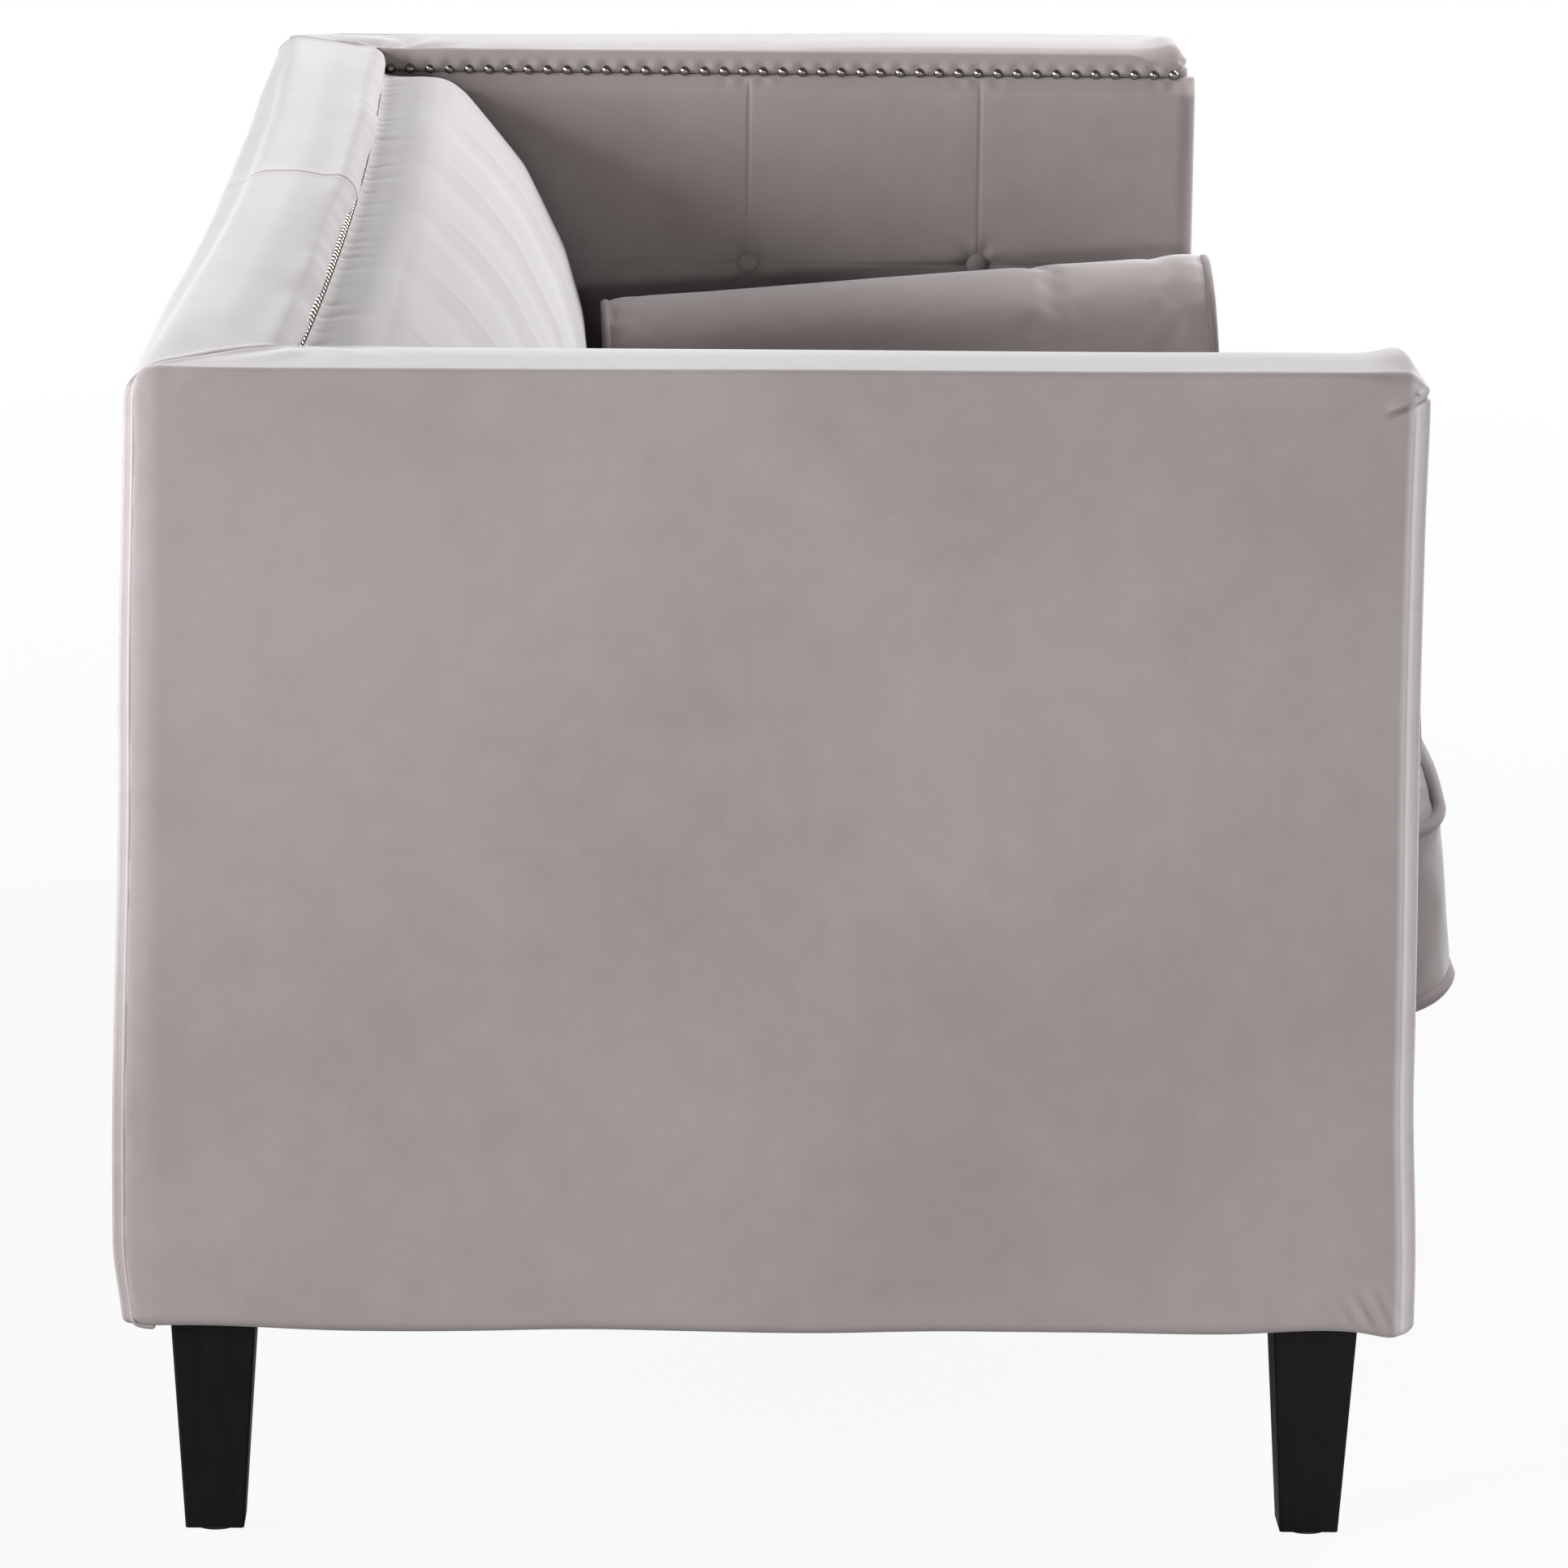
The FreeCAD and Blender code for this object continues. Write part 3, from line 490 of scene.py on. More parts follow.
def arm_softness(p, way, seed, wrinkle, rise):
    """Moves points of the soft box to where the sewn cloth lies. Rise lifts the rear and front."""
    x, y, z = np.moveaxis(p, -1, 0)
    up, out, ahead, inside = (np.clip(w, 0, 1) ** 2 for w in
                              (way[..., 2], -way[..., 0], -way[..., 1], way[..., 0]))
    deep = y - FRONT
    # the top falls towards the nails and has the ear at its front
    fall = 3.6 * np.clip((x + INNER + 60) / 60, 0, 1) ** 2
    push = up * (0.8 - fall + 0.5 * drift(x, y, 160, seed))
    ear = bell(deep - EAR, np.where(deep < EAR, 6, 15)) * ramp(x, -HALF + 6, -HALF + 60)
    forward = np.sin(np.clip((LIP - y) / (LIP - FRONT), 0, 1) * math.pi / 2)
    push += up * (4.0 * ear + rise[0] + (rise[1] - rise[0]) * forward)
    # the outside is a little full in the middle
    full = ramp(y, FRONT, FRONT + 180) * ramp(y, REAR, REAR - 220)
    full = full * ramp(z, HEM, HEM + 150) * ramp(z, TOP, TOP - 150)
    uneven = 0.8 * drift(y, z, 190, seed + 1) + 0.3 * drift(y, z, 60, seed + 2)
    push += out * ramp(y, REAR - 4, REAR - 50) * (uneven + 2.0 * full)
    # the pleat under the ear, the pit where it is tucked in, and the seam down the front
    pleat = z - (TOP - 23 + 5 * ramp(deep, 27, 9) + 6 * ramp(deep, 10, 2))
    reach = ramp(deep, 30, 20) * ramp(deep, -4, 3)
    fold = 3.0 * bell(pleat - 4.5, 2.8) - 4.6 * bell(pleat, 1.5)
    push += reach * (out + 0.6 * ahead) * fold
    push -= 3.6 * bell(np.hypot(deep - 7, z - TOP + 9), 2.6) * (out + ahead)
    push -= 0.7 * bell(way[..., 1] + 0.5, 0.07) * ramp(z, TOP - 14, TOP - 30)
    middle = 1 - np.clip((x + (HALF + INNER) / 2) / 58, -1, 1) ** 2
    push += ahead * 0.6 * middle * ramp(z, HEM, HEM + 110) * ramp(z, TOP, TOP - 60)
    # the roll over the nails, the mitred seam and the pulls that run out from the inner corner
    push += inside * ramp(z, NAIL - 6, NAIL - 2) * rail_edge(z, y, "arm")
    seam = from_mitre(x, y)
    push -= 2.2 * bell(seam, 1.3)
    push += 0.5 * bell(seam - 6, 4) * (1 + 0.5 * drift(y, z, 14, seed + 5))
    crease, around = np.hypot(x + INNER, y - LIP), np.arctan2(y - LIP, x + INNER)
    rays = bell(crease - 48, 34) * np.sin(8 * around + 0.06 * crease + seed)
    push += (up + inside) * wrinkle * rays * ramp(y, LIP - 150, LIP - 20)
    # puckers beside the front leg, and the hem
    pucker = bell(z - HEM - 14, 13) * bell(y - LEG_Y[0] + 27, 15) * out
    push -= 1.2 * pucker * np.cos((y - LEG_Y[0] - 0.6 * (z - HEM)) / 2.0)
    p = p + way * push[..., None]
    hang = -2.6 + 0.8 * np.sin(y / 41.0 + seed) + 0.8 * drift(y, x, 70, seed + 4)
    hang += 2.4 * bell(y - LEG_Y[0], 36) + 1.6 * bell(y - LEG_Y[1], 45) - 3.2 * bell(deep - 14, 16)
    p[..., 2] += hang * ramp(z, HEM + 70, HEM + 5)
    return bowed(p)


def arm_cover(name, mirrored, seed, wrinkle, rise):
    low, high = np.array([-HALF, FRONT, HEM]), np.array([-INNER, REAR, TOP])
    y = lines(FRONT, REAR, 2.3, near=(FRONT, FRONT + 28, LEG_Y[0] - 27, REAR), fine=1.3, reach=22)
    t = (y - FRONT) / (REAR - FRONT)
    x = lines(-HALF, -INNER, 4.5, near=(-HALF, -INNER), fine=1.4, reach=12)
    z_low = lines(HEM, EDGE, 8, near=(HEM + 10, EDGE), fine=1.6, reach=24)
    z_high = lines(EDGE, TOP, 1.1)
    z = np.concatenate([z_low, z_high[1:]])
    faces = [
        (lattice(y, z, lambda y, z: (-HALF, y, z)), (-1, 0, 0)),
        (lattice(t, x, lambda t, x: (x, FRONT + t * (mitre_y(x) - FRONT), TOP)), (0, 0, 1)),
        (lattice(x, z, lambda x, z: (x, FRONT, z)), (0, -1, 0)),
        (lattice(t, z_high, lambda t, z: (-INNER, FRONT + t * (LIP - FRONT), z)), (1, 0, 0)),
        (lattice(lines(FRONT, FRONT + 23, 6), z_low, lambda y, z: (-INNER, y, z)), (1, 0, 0)),
        (lattice(y, lines(-HALF, -HALF + 18, 4), lambda y, x: (x, y, HEM)), (0, 0, -1)),
        (lattice(x, lines(FRONT, FRONT + 16, 4), lambda x, y: (x, y, HEM)), (0, 0, -1)),
    ]
    work = Patchwork()
    for grid, outward in faces:
        box, way = rounded(grid, low, high, *edge_softness(grid, *ARM_SOFT))
        # Painted highlight: the colour is painted paler along the rounded front edge, less along the
        # rear one.
        front = ramp(-way[..., 1], 0.1, 0.5) * ramp(box[..., 0], -HALF + 34, -HALF + 12)
        rear = ramp(way[..., 1], 0.0, 0.6) * ramp(box[..., 2], HEM + 40, HEM + 330)
        work.add(arm_softness(box, way, seed, wrinkle, rise), outward, front + 0.3 * rear)
    made = work.piece(name, grey_velvet, mirrored=mirrored, wadding=2.0)
    stands_for(made, "velvet", name.replace("_wrap", "_cover"), fill=0.9)


arm_cover("left_arm_wrap", False, 11, 0.5, (0.0, 1.6))
arm_cover("right_arm_wrap", True, 23, 1.9, (-2.9, 3.2))

# %% [markdown]
# The back cover is too long for one width of cloth, so a seam crosses the top near mid-length. Its
# rear edge draws in a little between the two arms, and the padded top slopes softly to the nails.

# %% Back cover
BACK_LOW, BACK_HIGH = np.array([-HALF, LIP, HEM]), np.array([HALF, REAR, TOP])
BACK_SOFT = np.array([8.0, 14.0, 8.0]), np.array([8.0, 26.0, 7.0])
JOIN = -46.0                         # where the two widths of cloth are sewn together


def back_softness(p, way):
    """The same for the back cover."""
    x, y, z = np.moveaxis(p, -1, 0)
    up, behind, inside = (np.clip(w, 0, 1) ** 2 for w in (way[..., 2], way[..., 1], -way[..., 1]))
    seam = from_mitre(x, y)
    full = ramp(seam, 0, 140)
    # the padded top, lower at the right end, and the rear face
    push = up * (0.8 + 2.7 * full * (1 - np.clip((y - REAR + 45) / 45, 0, 1) ** 2))
    push -= up * 2.9 * ramp(x, 600, 900)
    push += up * (0.9 * drift(x * 0.45, y, 120, 31) + 0.5 * drift(x * 0.3, y, 50, 32))
    uneven = drift(x, z, 220, 33) + 0.4 * drift(x, z, 70, 34)
    push += behind * ramp(HALF - np.abs(x), 4, 50) * uneven
    # the roll over the nails, fuller and uneven at mid-length
    push += inside * ramp(z, NAIL - 6, NAIL - 2) * rail_edge(z, x, "back")
    gather = ramp(y, LIP + 26, LIP + 4) * ramp(z, NAIL - 2, NAIL + 8)
    roll = 4.0 * ramp(x, -220, 0) * (1 - 0.6 * ramp(x, 450, 650))
    push += gather * (1.6 * drift(x, 0 * x, 105, 37) + 0.5 * drift(x, 0 * x, 40, 36) + roll)
    # the seam between the two widths, and the mitred seams
    centre = (up + inside) * ramp(z, NAIL + 2, NAIL + 9)
    push += centre * (0.5 * bell(np.abs(x - JOIN) - 9, 8) - 3.2 * bell(x - JOIN, 1.2))
    push += 0.5 * bell(seam - 6, 4) - 2.2 * bell(seam, 1.3)
    p = p + way * push[..., None]
    slope = (2.6 + 5.4 * full) * np.clip((LIP + 46 - y) / 46, 0, 1) ** 1.3
    hang = -2.6 + 0.9 * np.sin(x / 47.0) + 0.8 * drift(x, y, 85, 35)
    p[..., 2] -= slope * np.clip((z - NAIL - 3) / (TOP - NAIL - 10), 0, 1)
    p[..., 2] += hang * ramp(z, HEM + 70, HEM + 5)
    return bowed(p)


def back_cover():
    s = lines(-1, 1, 1 / 420, near=(-1, JOIN / 960, 1), fine=1 / 870, reach=1 / 60)
    x = s * HALF
    y = lines(LIP, REAR, 4.5, near=(LIP, REAR), fine=1.5, reach=12)
    z_low = lines(HEM, EDGE, 9, near=(HEM, EDGE), fine=2.0, reach=26)
    z = np.concatenate([z_low, lines(EDGE, TOP, 1.2)[1:]])
    z_high = lines(EDGE, TOP, 1.1)

    def top(s, y):
        return s * (INNER + (y - LIP) * (HALF - INNER) / (REAR - LIP)), y, TOP

    faces = [
        (lattice(x, z, lambda x, z: (x, REAR, z)), (0, 1, 0)),
        (lattice(s, y, top), (0, 0, 1)),
        (lattice(s, z_high, lambda s, z: (s * INNER, LIP, z)), (0, -1, 0)),
        (lattice(x, lines(REAR - 18, REAR, 4), lambda x, y: (x, y, HEM)), (0, 0, -1)),
    ]
    work = Patchwork()
    for grid, outward in faces:
        box, way = rounded(grid, BACK_LOW, BACK_HIGH, *edge_softness(grid, *BACK_SOFT))
        # Painted highlight: the colour is painted paler along the upright rear edges.
        edge = ramp(np.abs(way[..., 0]), 0.02, 0.25) * np.clip(way[..., 1], 0, 1)
        rub = 0.6 * edge * ramp(box[..., 2], HEM + 40, HEM + 330)
        work.add(back_softness(box, way), outward, rub)
    made = work.piece("back_wrap", grey_velvet, wadding=2.0)
    stands_for(made, "velvet", "back_cover", fill=0.9)


back_cover()

# %% [markdown]
# The inside of each arm is a flat pad with thin sewn lines: one level line through the buttons and
# an upright line through each button. The cloth dips sharply at a line, more so at a button, and
# short pulls run out from it. A fine grid carries lines this thin, which a simulation would smooth
# away. The pads go down behind the platform, and their front strip runs on down to the hem.

# %% Arm pads
BUTTON_Y, BUTTON_Z = (FRONT + 183.0, FRONT + 385.0), NAIL - 168.0
FOOT = 238.0                         # the height of the pads' lower edge


def arm_pad(name, mirrored, seed):
    y = lines(FRONT - 6, REAR - 90, 7, near=(FRONT - 6, FRONT + 12) + BUTTON_Y, fine=1.4, reach=18)
    z = lines(FOOT, NAIL - 3, 8, near=(BUTTON_Z, NAIL - 3), fine=1.4, reach=20)

    def face(y, z):
        swell = 6.4 + 0.8 * drift(y, z, 130, seed) + 0.3 * drift(y, z, 45, seed + 1)
        for column in BUTTON_Y:
            swell -= 1.3 * bell(y - column, 1.2) + 0.4 * bell(y - column, 9)
        swell -= 1.3 * bell(z - BUTTON_Z, 1.2) + 0.4 * bell(z - BUTTON_Z, 9)
        for column in BUTTON_Y:
            away = np.hypot(y - column, z - BUTTON_Z)
            around = np.arctan2(z - BUTTON_Z, y - column)
            swell -= 7.5 * bell(away, 12)
            swell += 1.2 * bell(away - 17, 8) * np.cos(6 * around + 0.7 + seed)
        tuck = ramp(z, NAIL - 2, NAIL - 20)
        swell = np.clip(swell, -2.0, 8.4) * tuck - 1.5 * (1 - tuck)
        swell += 1.2 * puff(y, "arm") * bell(z - NAIL + 8, 4)
        corner = np.clip((FRONT + 12 - y) / 18, 0, 1)
        strip = (FOOT - HEM - 3) * ramp(y, FRONT + 30, FRONT + 14) * ramp(z, 400, FOOT)
        return -INNER + swell - 14 * (1 - np.sqrt(1 - 0.999 * corner ** 2)), y, z - strip

    work = Patchwork()
    front = lattice(y, z, face)
    behind = front * [0, 1, 1] + [-INNER - 43, 0, 0]
    behind[..., 1] = np.maximum(behind[..., 1], FRONT + 7)     # turned in behind the arm front
    work.slab(front, behind, (1, 0, 0), (0, 1, 0), (0, 0, 1))
    made = work.piece(name, grey_velvet, mirrored=mirrored)
    stands_for(made, "velvet", name.replace("_lining", "_pad"), fill=0.9)


arm_pad("left_arm_lining", False, 41)
arm_pad("right_arm_lining", True, 47)

# %% [markdown]
# Each button is a dome covered with the same velvet, pulled into the pad by its twine. A turned
# profile gives the dome, and a ring of tiny pleats at its rim shows where the cloth is gathered.

# %% Buttons
def button_set():
    work = Patchwork()
    turn = np.linspace(0, 2 * math.pi, 49)
    reach = np.array([0.0, 2.0, 4.0, 6.0, 7.6, 8.8, 9.6, 10.0, 9.8, 9.0])
    rise = np.array([6.9, 6.8, 6.4, 5.7, 4.8, 3.7, 2.4, 1.0, -0.4, -1.8])
    for end in (-1, 1):
        for column in BUTTON_Y:
            def dome(step, angle):
                r = np.interp(step, np.arange(10), reach)
                pleats = 0.25 * np.sin(12 * angle) * ramp(r, 6, 10)
                h = np.interp(step, np.arange(10), rise) + pleats
                return end * (INNER - h), column + r * np.cos(angle), BUTTON_Z + r * np.sin(angle)
            work.add(lattice(np.linspace(0, 9, 28), turn, dome), (-end, 0, 0))
    made = work.piece("velvet_buttons", grey_velvet)
    stands_for(made, "velvet", "arm_buttons", fill=1.0)


button_set()

# %% [markdown]
# The inside back is a thick wedge of padding pulled tight over the webbing. Its cloth is wider than
# the line of nails that holds it, so it gathers into short pleats under the nails, rolls over a
# rounded shoulder and falls in a long soft curve to the seat, with a few slack folds. The profile
# is a smooth curve close to the CAD pad's, and each pleat is a narrow crease that dies away with
# its distance from the nails.

# %% Inside back
BELLY = LIP - 181.0


def back_curve():
    """Points down the face of the pad, in y and z, from the nails to the seat."""
    inward = np.array([0, 3.5, 9, 20, 36, 53, 65, 77, 89,
                       125, 159, 175, 180.5, 180.7, 180, 177, 170, 166])
    drop = np.array([0, 3, 3.4, 2.4, 1.6, 2.6, 7, 17, 33,
                     80, 150, 205, 247, 287, 327, 377, 427, 470])
    knots = np.stack([LIP - inward, NAIL - 1.5 - drop], -1)
    span = np.concatenate([[0], np.cumsum(np.hypot(*np.diff(knots, axis=0).T))])
    fine = np.linspace(0, span[-1], 700)
    curve = np.stack([np.interp(fine, span, knots[:, k]) for k in (0, 1)], -1)
    smooth = np.hanning(23) / np.hanning(23).sum()
    longer = np.concatenate([np.repeat(curve[:1], 11, 0), curve, np.repeat(curve[-1:], 11, 0)])
    return fine, np.stack([np.convolve(longer[:, k], smooth, "valid") for k in (0, 1)], -1)


def back_folds(x, s):
    """Ridges and valleys in mm over x along the sofa and s down from the nails."""
    pick = np.random.default_rng(57)
    height = -0.8 * bell(s - 7, 6) + np.zeros(np.broadcast(x, s).shape)
    at = -905.0
    while at < 905:
        at += pick.uniform(30, 90)
        width, long = pick.uniform(8.0, 15.0), pick.choice([12, 17, 24, 34])
        depth, lean = pick.uniform(0.9, 2.6), pick.uniform(-0.4, 0.4)
        crease = bell(x - at - lean * s, width * (0.8 + s / 30))
        height += (0.5 * crease ** 0.3 - crease) * depth * ramp(s, 1, 6) * bell(s, long)
    slack = ((-700, 0.22, 70, -3.4), (-610, 0.26, 24, 1.2), (-380, 0.30, 60, -3.0),
             (-300, 0.33, 20, 1.2), (-60, 0.24, 62, -3.2), (30, 0.30, 26, 1.5),
             (250, 0.18, 70, -3.2), (335, 0.22, 22, 1.3), (560, 0.12, 60, -2.8),
             (640, 0.16, 24, 1.0))      # place along the sofa, lean, width, height
    for at, lean, width, rise in slack:
        path = at + lean * s + 12 * np.sin(s / 110 + at)
        fade = ramp(s, 25, 130) * ramp(s, 560, 330)
        height += 0.55 * rise * bell(x - path, width * (0.55 + s / 500)) * fade
    return height


def inside_back():
    fine, curve = back_curve()
    s = lines(0, fine[-1], 9, near=(6, 34), fine=1.5, reach=26)
    end_x = INNER - 2.0
    x = lines(-end_x, end_x, 2.8, near=(-end_x, end_x), fine=1.8, reach=20)
    y, z = (np.interp(s, fine, curve[:, k]) for k in (0, 1))
    slope = np.stack([np.gradient(y, s), np.gradient(z, s)], -1)
    way = np.stack([slope[:, 1], -slope[:, 0]], -1) / np.linalg.norm(slope, axis=1)[:, None]
    X, S = np.meshgrid(x, s, indexing="ij")
    push = back_folds(X, S) - 9.0 * np.exp(-(end_x - np.abs(X)) / 10) * ramp(S, 0, 40)
    push += (0.8 * drift(X, S, 190, 58) + 0.2 * drift(X, S, 70, 59)) * ramp(S, 30, 80)
    push -= 6.0 * bell(S - 80, 26) * (1 - (X / end_x) ** 4)
    right = ramp(X, 0, 500)              # the pad is fuller towards the right end
    push += (3.0 * right - 5.0 * (1 - right) * (X / end_x) ** 2) * ramp(S, 40, 200)
    start = y[None] - lip_bow(X) * ramp(S, 170, 0)
    face = np.stack([X, start + way[None, :, 0] * push, z[None] + way[None, :, 1] * push], -1)
    face[..., 1] = np.maximum(face[..., 1], BELLY + 0.3 - 3.0 * right)
    behind = face.copy()
    behind[..., 1] = LIP + 38
    behind[..., 2] = np.linspace(NAIL - 6, face[0, -1, 2], len(s))[None]
    work = Patchwork()
    work.slab(face, behind, (0, -1, 0.3), (1, 0, 0), (0, 0, -1))
    made = work.piece("inside_back", grey_velvet)
    stands_for(made, "velvet", "back_pad", fill=0.85)


inside_back()

# %% [markdown]
# Everything on the seat is drawn level and then tipped back, as the platform is. The three cushions
# share that slope and the width between the arms, with a small gap from one to the next.

# %% The seat's own axes
PITCH = math.radians(4.8)
SEAT_Y, SEAT_Z = FRONT + 12.0, 327.0
SEAT_HALF = INNER - 9.5
PIPE, BORDER, BASE = 4.5, 115.7, 4.8         # piping radius, between the two seams, lower seam
CROWN = 8.0


def on_seat(p):
    x, v, w = np.moveaxis(np.asarray(p, float), -1, 0)
    return np.stack([x, SEAT_Y + v * math.cos(PITCH) + w * math.sin(PITCH),
                     SEAT_Z - v * math.sin(PITCH) + w * math.cos(PITCH)], -1)


seat_front = (FRONT - 44.0 + PIPE * (1 - math.sin(PITCH)) - SEAT_Y) / math.cos(PITCH)
seat_rear = BELLY - 0.5 - PIPE - (BASE + BORDER + PIPE) * math.sin(PITCH)
seat_rear = (seat_rear - SEAT_Y) / math.cos(PITCH)
HALF_V, MID_V = (seat_rear - seat_front) / 2, (seat_rear + seat_front) / 2
GAP = 2.0                                    # between two cushions
SPAN_X = (2 * SEAT_HALF - 2 * GAP) / 3 + GAP
HALF_X = (SPAN_X - GAP) / 2 - PIPE
print("cushion", round(2 * HALF_X, 1), "by", round(2 * HALF_V, 1), "mm between seams")

# %% [markdown]
# A cushion is a block of foam in a piped cover. A real cover is held along its piping and swells
# between, so the form is simulated: the seams are pinned, air pressure fills the rest, and no point
# may move further than a set distance. Its plan is a rectangle with round corners, which bows
# forward a little at the front and pulls in at the other sides. One form serves all three places.

# %% Cushion form
def plan(x, v):
    corner = 72.0
    dx, dv = (np.clip(np.abs(a) - (h - corner), 0, corner) for a, h in ((x, HALF_X), (v, HALF_V)))
    nx = np.sign(x) * (np.abs(x) - dx + dx * np.sqrt(1 - dv ** 2 / (2 * corner ** 2)))
    nv = np.sign(v) * (np.abs(v) - dv + dv * np.sqrt(1 - dx ** 2 / (2 * corner ** 2)))
    inward = np.where(v < 0, -6.0, 2.0)
    return (nx * (1 - 2.0 / HALF_X * (1 - (nv / HALF_V) ** 2)),
            nv * (1 - inward / HALF_V * (1 - (nx / HALF_X) ** 2)))


def inflate(mesh, pinned, pressure, cap, fullness, frames=20):
    """Cloth under pressure, its seams held: the points in mm, none moved by more than cap."""
    start = np.empty(len(mesh.vertices) * 3)
    mesh.vertices.foreach_get("co", start)
    start = start.reshape(-1, 3)
    form = bpy.data.objects.new("form", mesh)
    bpy.context.collection.objects.link(form)
    seam = form.vertex_groups.new(name="seam")
    seam.add(np.flatnonzero(pinned).tolist(), 1.0, "REPLACE")
    cloth = form.modifiers.new("stuffing", "CLOTH")
    cloth.settings.vertex_group_mass = "seam"
    cloth.settings.use_pressure = True
    cloth.settings.uniform_pressure_force = pressure
    cloth.settings.shrink_min = -fullness
    cloth.settings.effector_weights.gravity = 0.0
    cloth.settings.quality = 6
    cloth.settings.tension_stiffness = cloth.settings.compression_stiffness = 12.0
    cloth.settings.bending_stiffness = 0.4
    cloth.collision_settings.use_collision = False
    cloth.point_cache.frame_start, cloth.point_cache.frame_end = 1, frames
    for step in range(1, frames + 1):
        bpy.context.scene.frame_set(step)
    ready = form.evaluated_get(bpy.context.evaluated_depsgraph_get()).to_mesh()
    after = np.empty(len(mesh.vertices) * 3)
    ready.vertices.foreach_get("co", after)
    moved = after.reshape(-1, 3) - start
    bpy.data.objects.remove(form)
    bpy.context.scene.frame_set(1)
    far = np.linalg.norm(moved, axis=1, keepdims=True)
    print("swelled by up to", round(far.max() / MM, 1), "mm, on average", round(far.mean() / MM, 1))
    return (start + moved * np.minimum(1, cap * MM / np.maximum(far, 1e-9))) / MM


def cushion_form(step=9.0):
    work = Patchwork()
    x, v, w = lines(-HALF_X, HALF_X, step), lines(-HALF_V, HALF_V, step), lines(0, BORDER, step)

    def flat(x, v, height, crown):
        dome = (1 - (x / HALF_X) ** 2) * (1 - (v / HALF_V) ** 2)
        return (*plan(x, v), height + crown * dome ** 0.6)

    work.add(lattice(x, v, lambda x, v: flat(x, v, BORDER, 2.0)), (0, 0, 1))
    work.add(lattice(x, v, lambda x, v: flat(x, v, 0.0, -2.6)), (0, 0, -1))
    for s in (-1, 1):
        work.add(lattice(x, w, lambda x, w: (*plan(x, s * HALF_V + 0 * x), w)), (0, s, 0))
        work.add(lattice(v, w, lambda v, w: (*plan(s * HALF_X + 0 * v, v), w)), (s, 0, 0))
    mesh = work.sew("cushion_form")
    height = np.array([p.co.z for p in mesh.vertices]) / MM
    seams = (np.abs(height) < 0.01) | (np.abs(height - BORDER) < 0.01)
    return mesh, inflate(mesh, seams, 4.0, 26.0, 0.01)


cushion_mesh, cushion_points = cushion_form()
cushion_start = np.array([point.co.y for point in cushion_mesh.vertices]) / MM

# %% [markdown]
# The simulated form is set down in each place and pressed where something stops it: flat
# underneath, and flat where two cushions or a cushion and an arm push against each other. Two of
# the three are turned about, so that neighbours differ. At the front corners the seam drops a
# little, because nothing fills them, and the lower seam hangs where it stands out in front.

# %% Seat cushions
def corner_drop(x, v):
    """How far the seams sink near the two front corners."""
    from_side, from_front = HALF_X - np.abs(x), v + HALF_V
    away = np.hypot(np.maximum(from_side, 0), np.maximum(from_front, 0))
    return 18.0 * ramp(away, 160, 10) ** 1.3


def overhang(x, v):
    """How far the lower seam hangs where the cushion stands out in front of the platform."""
    return (5.0 + 8.0 * ramp(HALF_X - np.abs(x), 70, 5)) * ramp(v + HALF_V, 54, 42)


def set_down(form, points, name, body, node, flipped, fill):
    """A copy of a simulated form, with its points where they belong in the sofa."""
    mesh = form.copy()
    mesh.vertices.foreach_set("co", (points * MM).ravel())
    if flipped:
        mesh.flip_normals()
    made = dress(mesh, name, grey_velvet, body)
    made.modifiers.new("fine", "SUBSURF").render_levels = 1
    stands_for(made, "velvet", node, fill=fill)


def seat_cushion(name, place, flip, seed):
    x, v, w = cushion_points.T.copy()
    v = np.where(v < 0, cushion_start + 0.25 * (v - cushion_start), v)    # a straight front
    x = flip * x
    edge = np.maximum(np.abs(x) / HALF_X, np.abs(v) / HALF_V)
    side = ramp(edge, 0.9, 0.98)
    uneven = 0.9 * drift(x, v, 120, seed) + 0.5 * drift(x, v, 45, seed + 1)
    w = w + ramp(w, BORDER - 2, BORDER + 2) * uneven * ramp(edge, 1.0, 0.9)
    border = ramp(w, 2, 25) * ramp(w, BORDER - 2, BORDER - 25) * side
    v = v - np.sign(v) * border * 0.8 * drift(x, w * 0.4, 34, seed + 2)
    v = v + side * ramp(w, 42, 14) * ramp(w, 0, 5) * 1.6 * drift(x, 0 * x, 17, seed + 3)
    w = np.minimum(w, BORDER + CROWN - 0.5) - corner_drop(x, v) * w / BORDER
    w = np.maximum(w, 0.4 - BASE) - overhang(x, v) * (1 - np.clip(w / BORDER, 0, 1))
    x = np.clip(x, -SPAN_X / 2 + 0.6, SPAN_X / 2 - 0.6)
    v = np.clip(v, -HALF_V - 9.0, HALF_V + PIPE)
    points = on_seat(np.stack([x + place, v + MID_V, w + BASE], -1))
    set_down(cushion_mesh, points, name + "_seat_pillow", name + "_cushion",
             name + "_seat_cushion", flip < 0, 0.85)


CUSHIONS = {"left": (-SPAN_X, 1, 61), "centre": (0.0, -1, 67), "right": (SPAN_X, -1, 71)}
for place_name, (x_middle, turned, seed) in CUSHIONS.items():
    seat_cushion(place_name, x_middle, turned, seed)
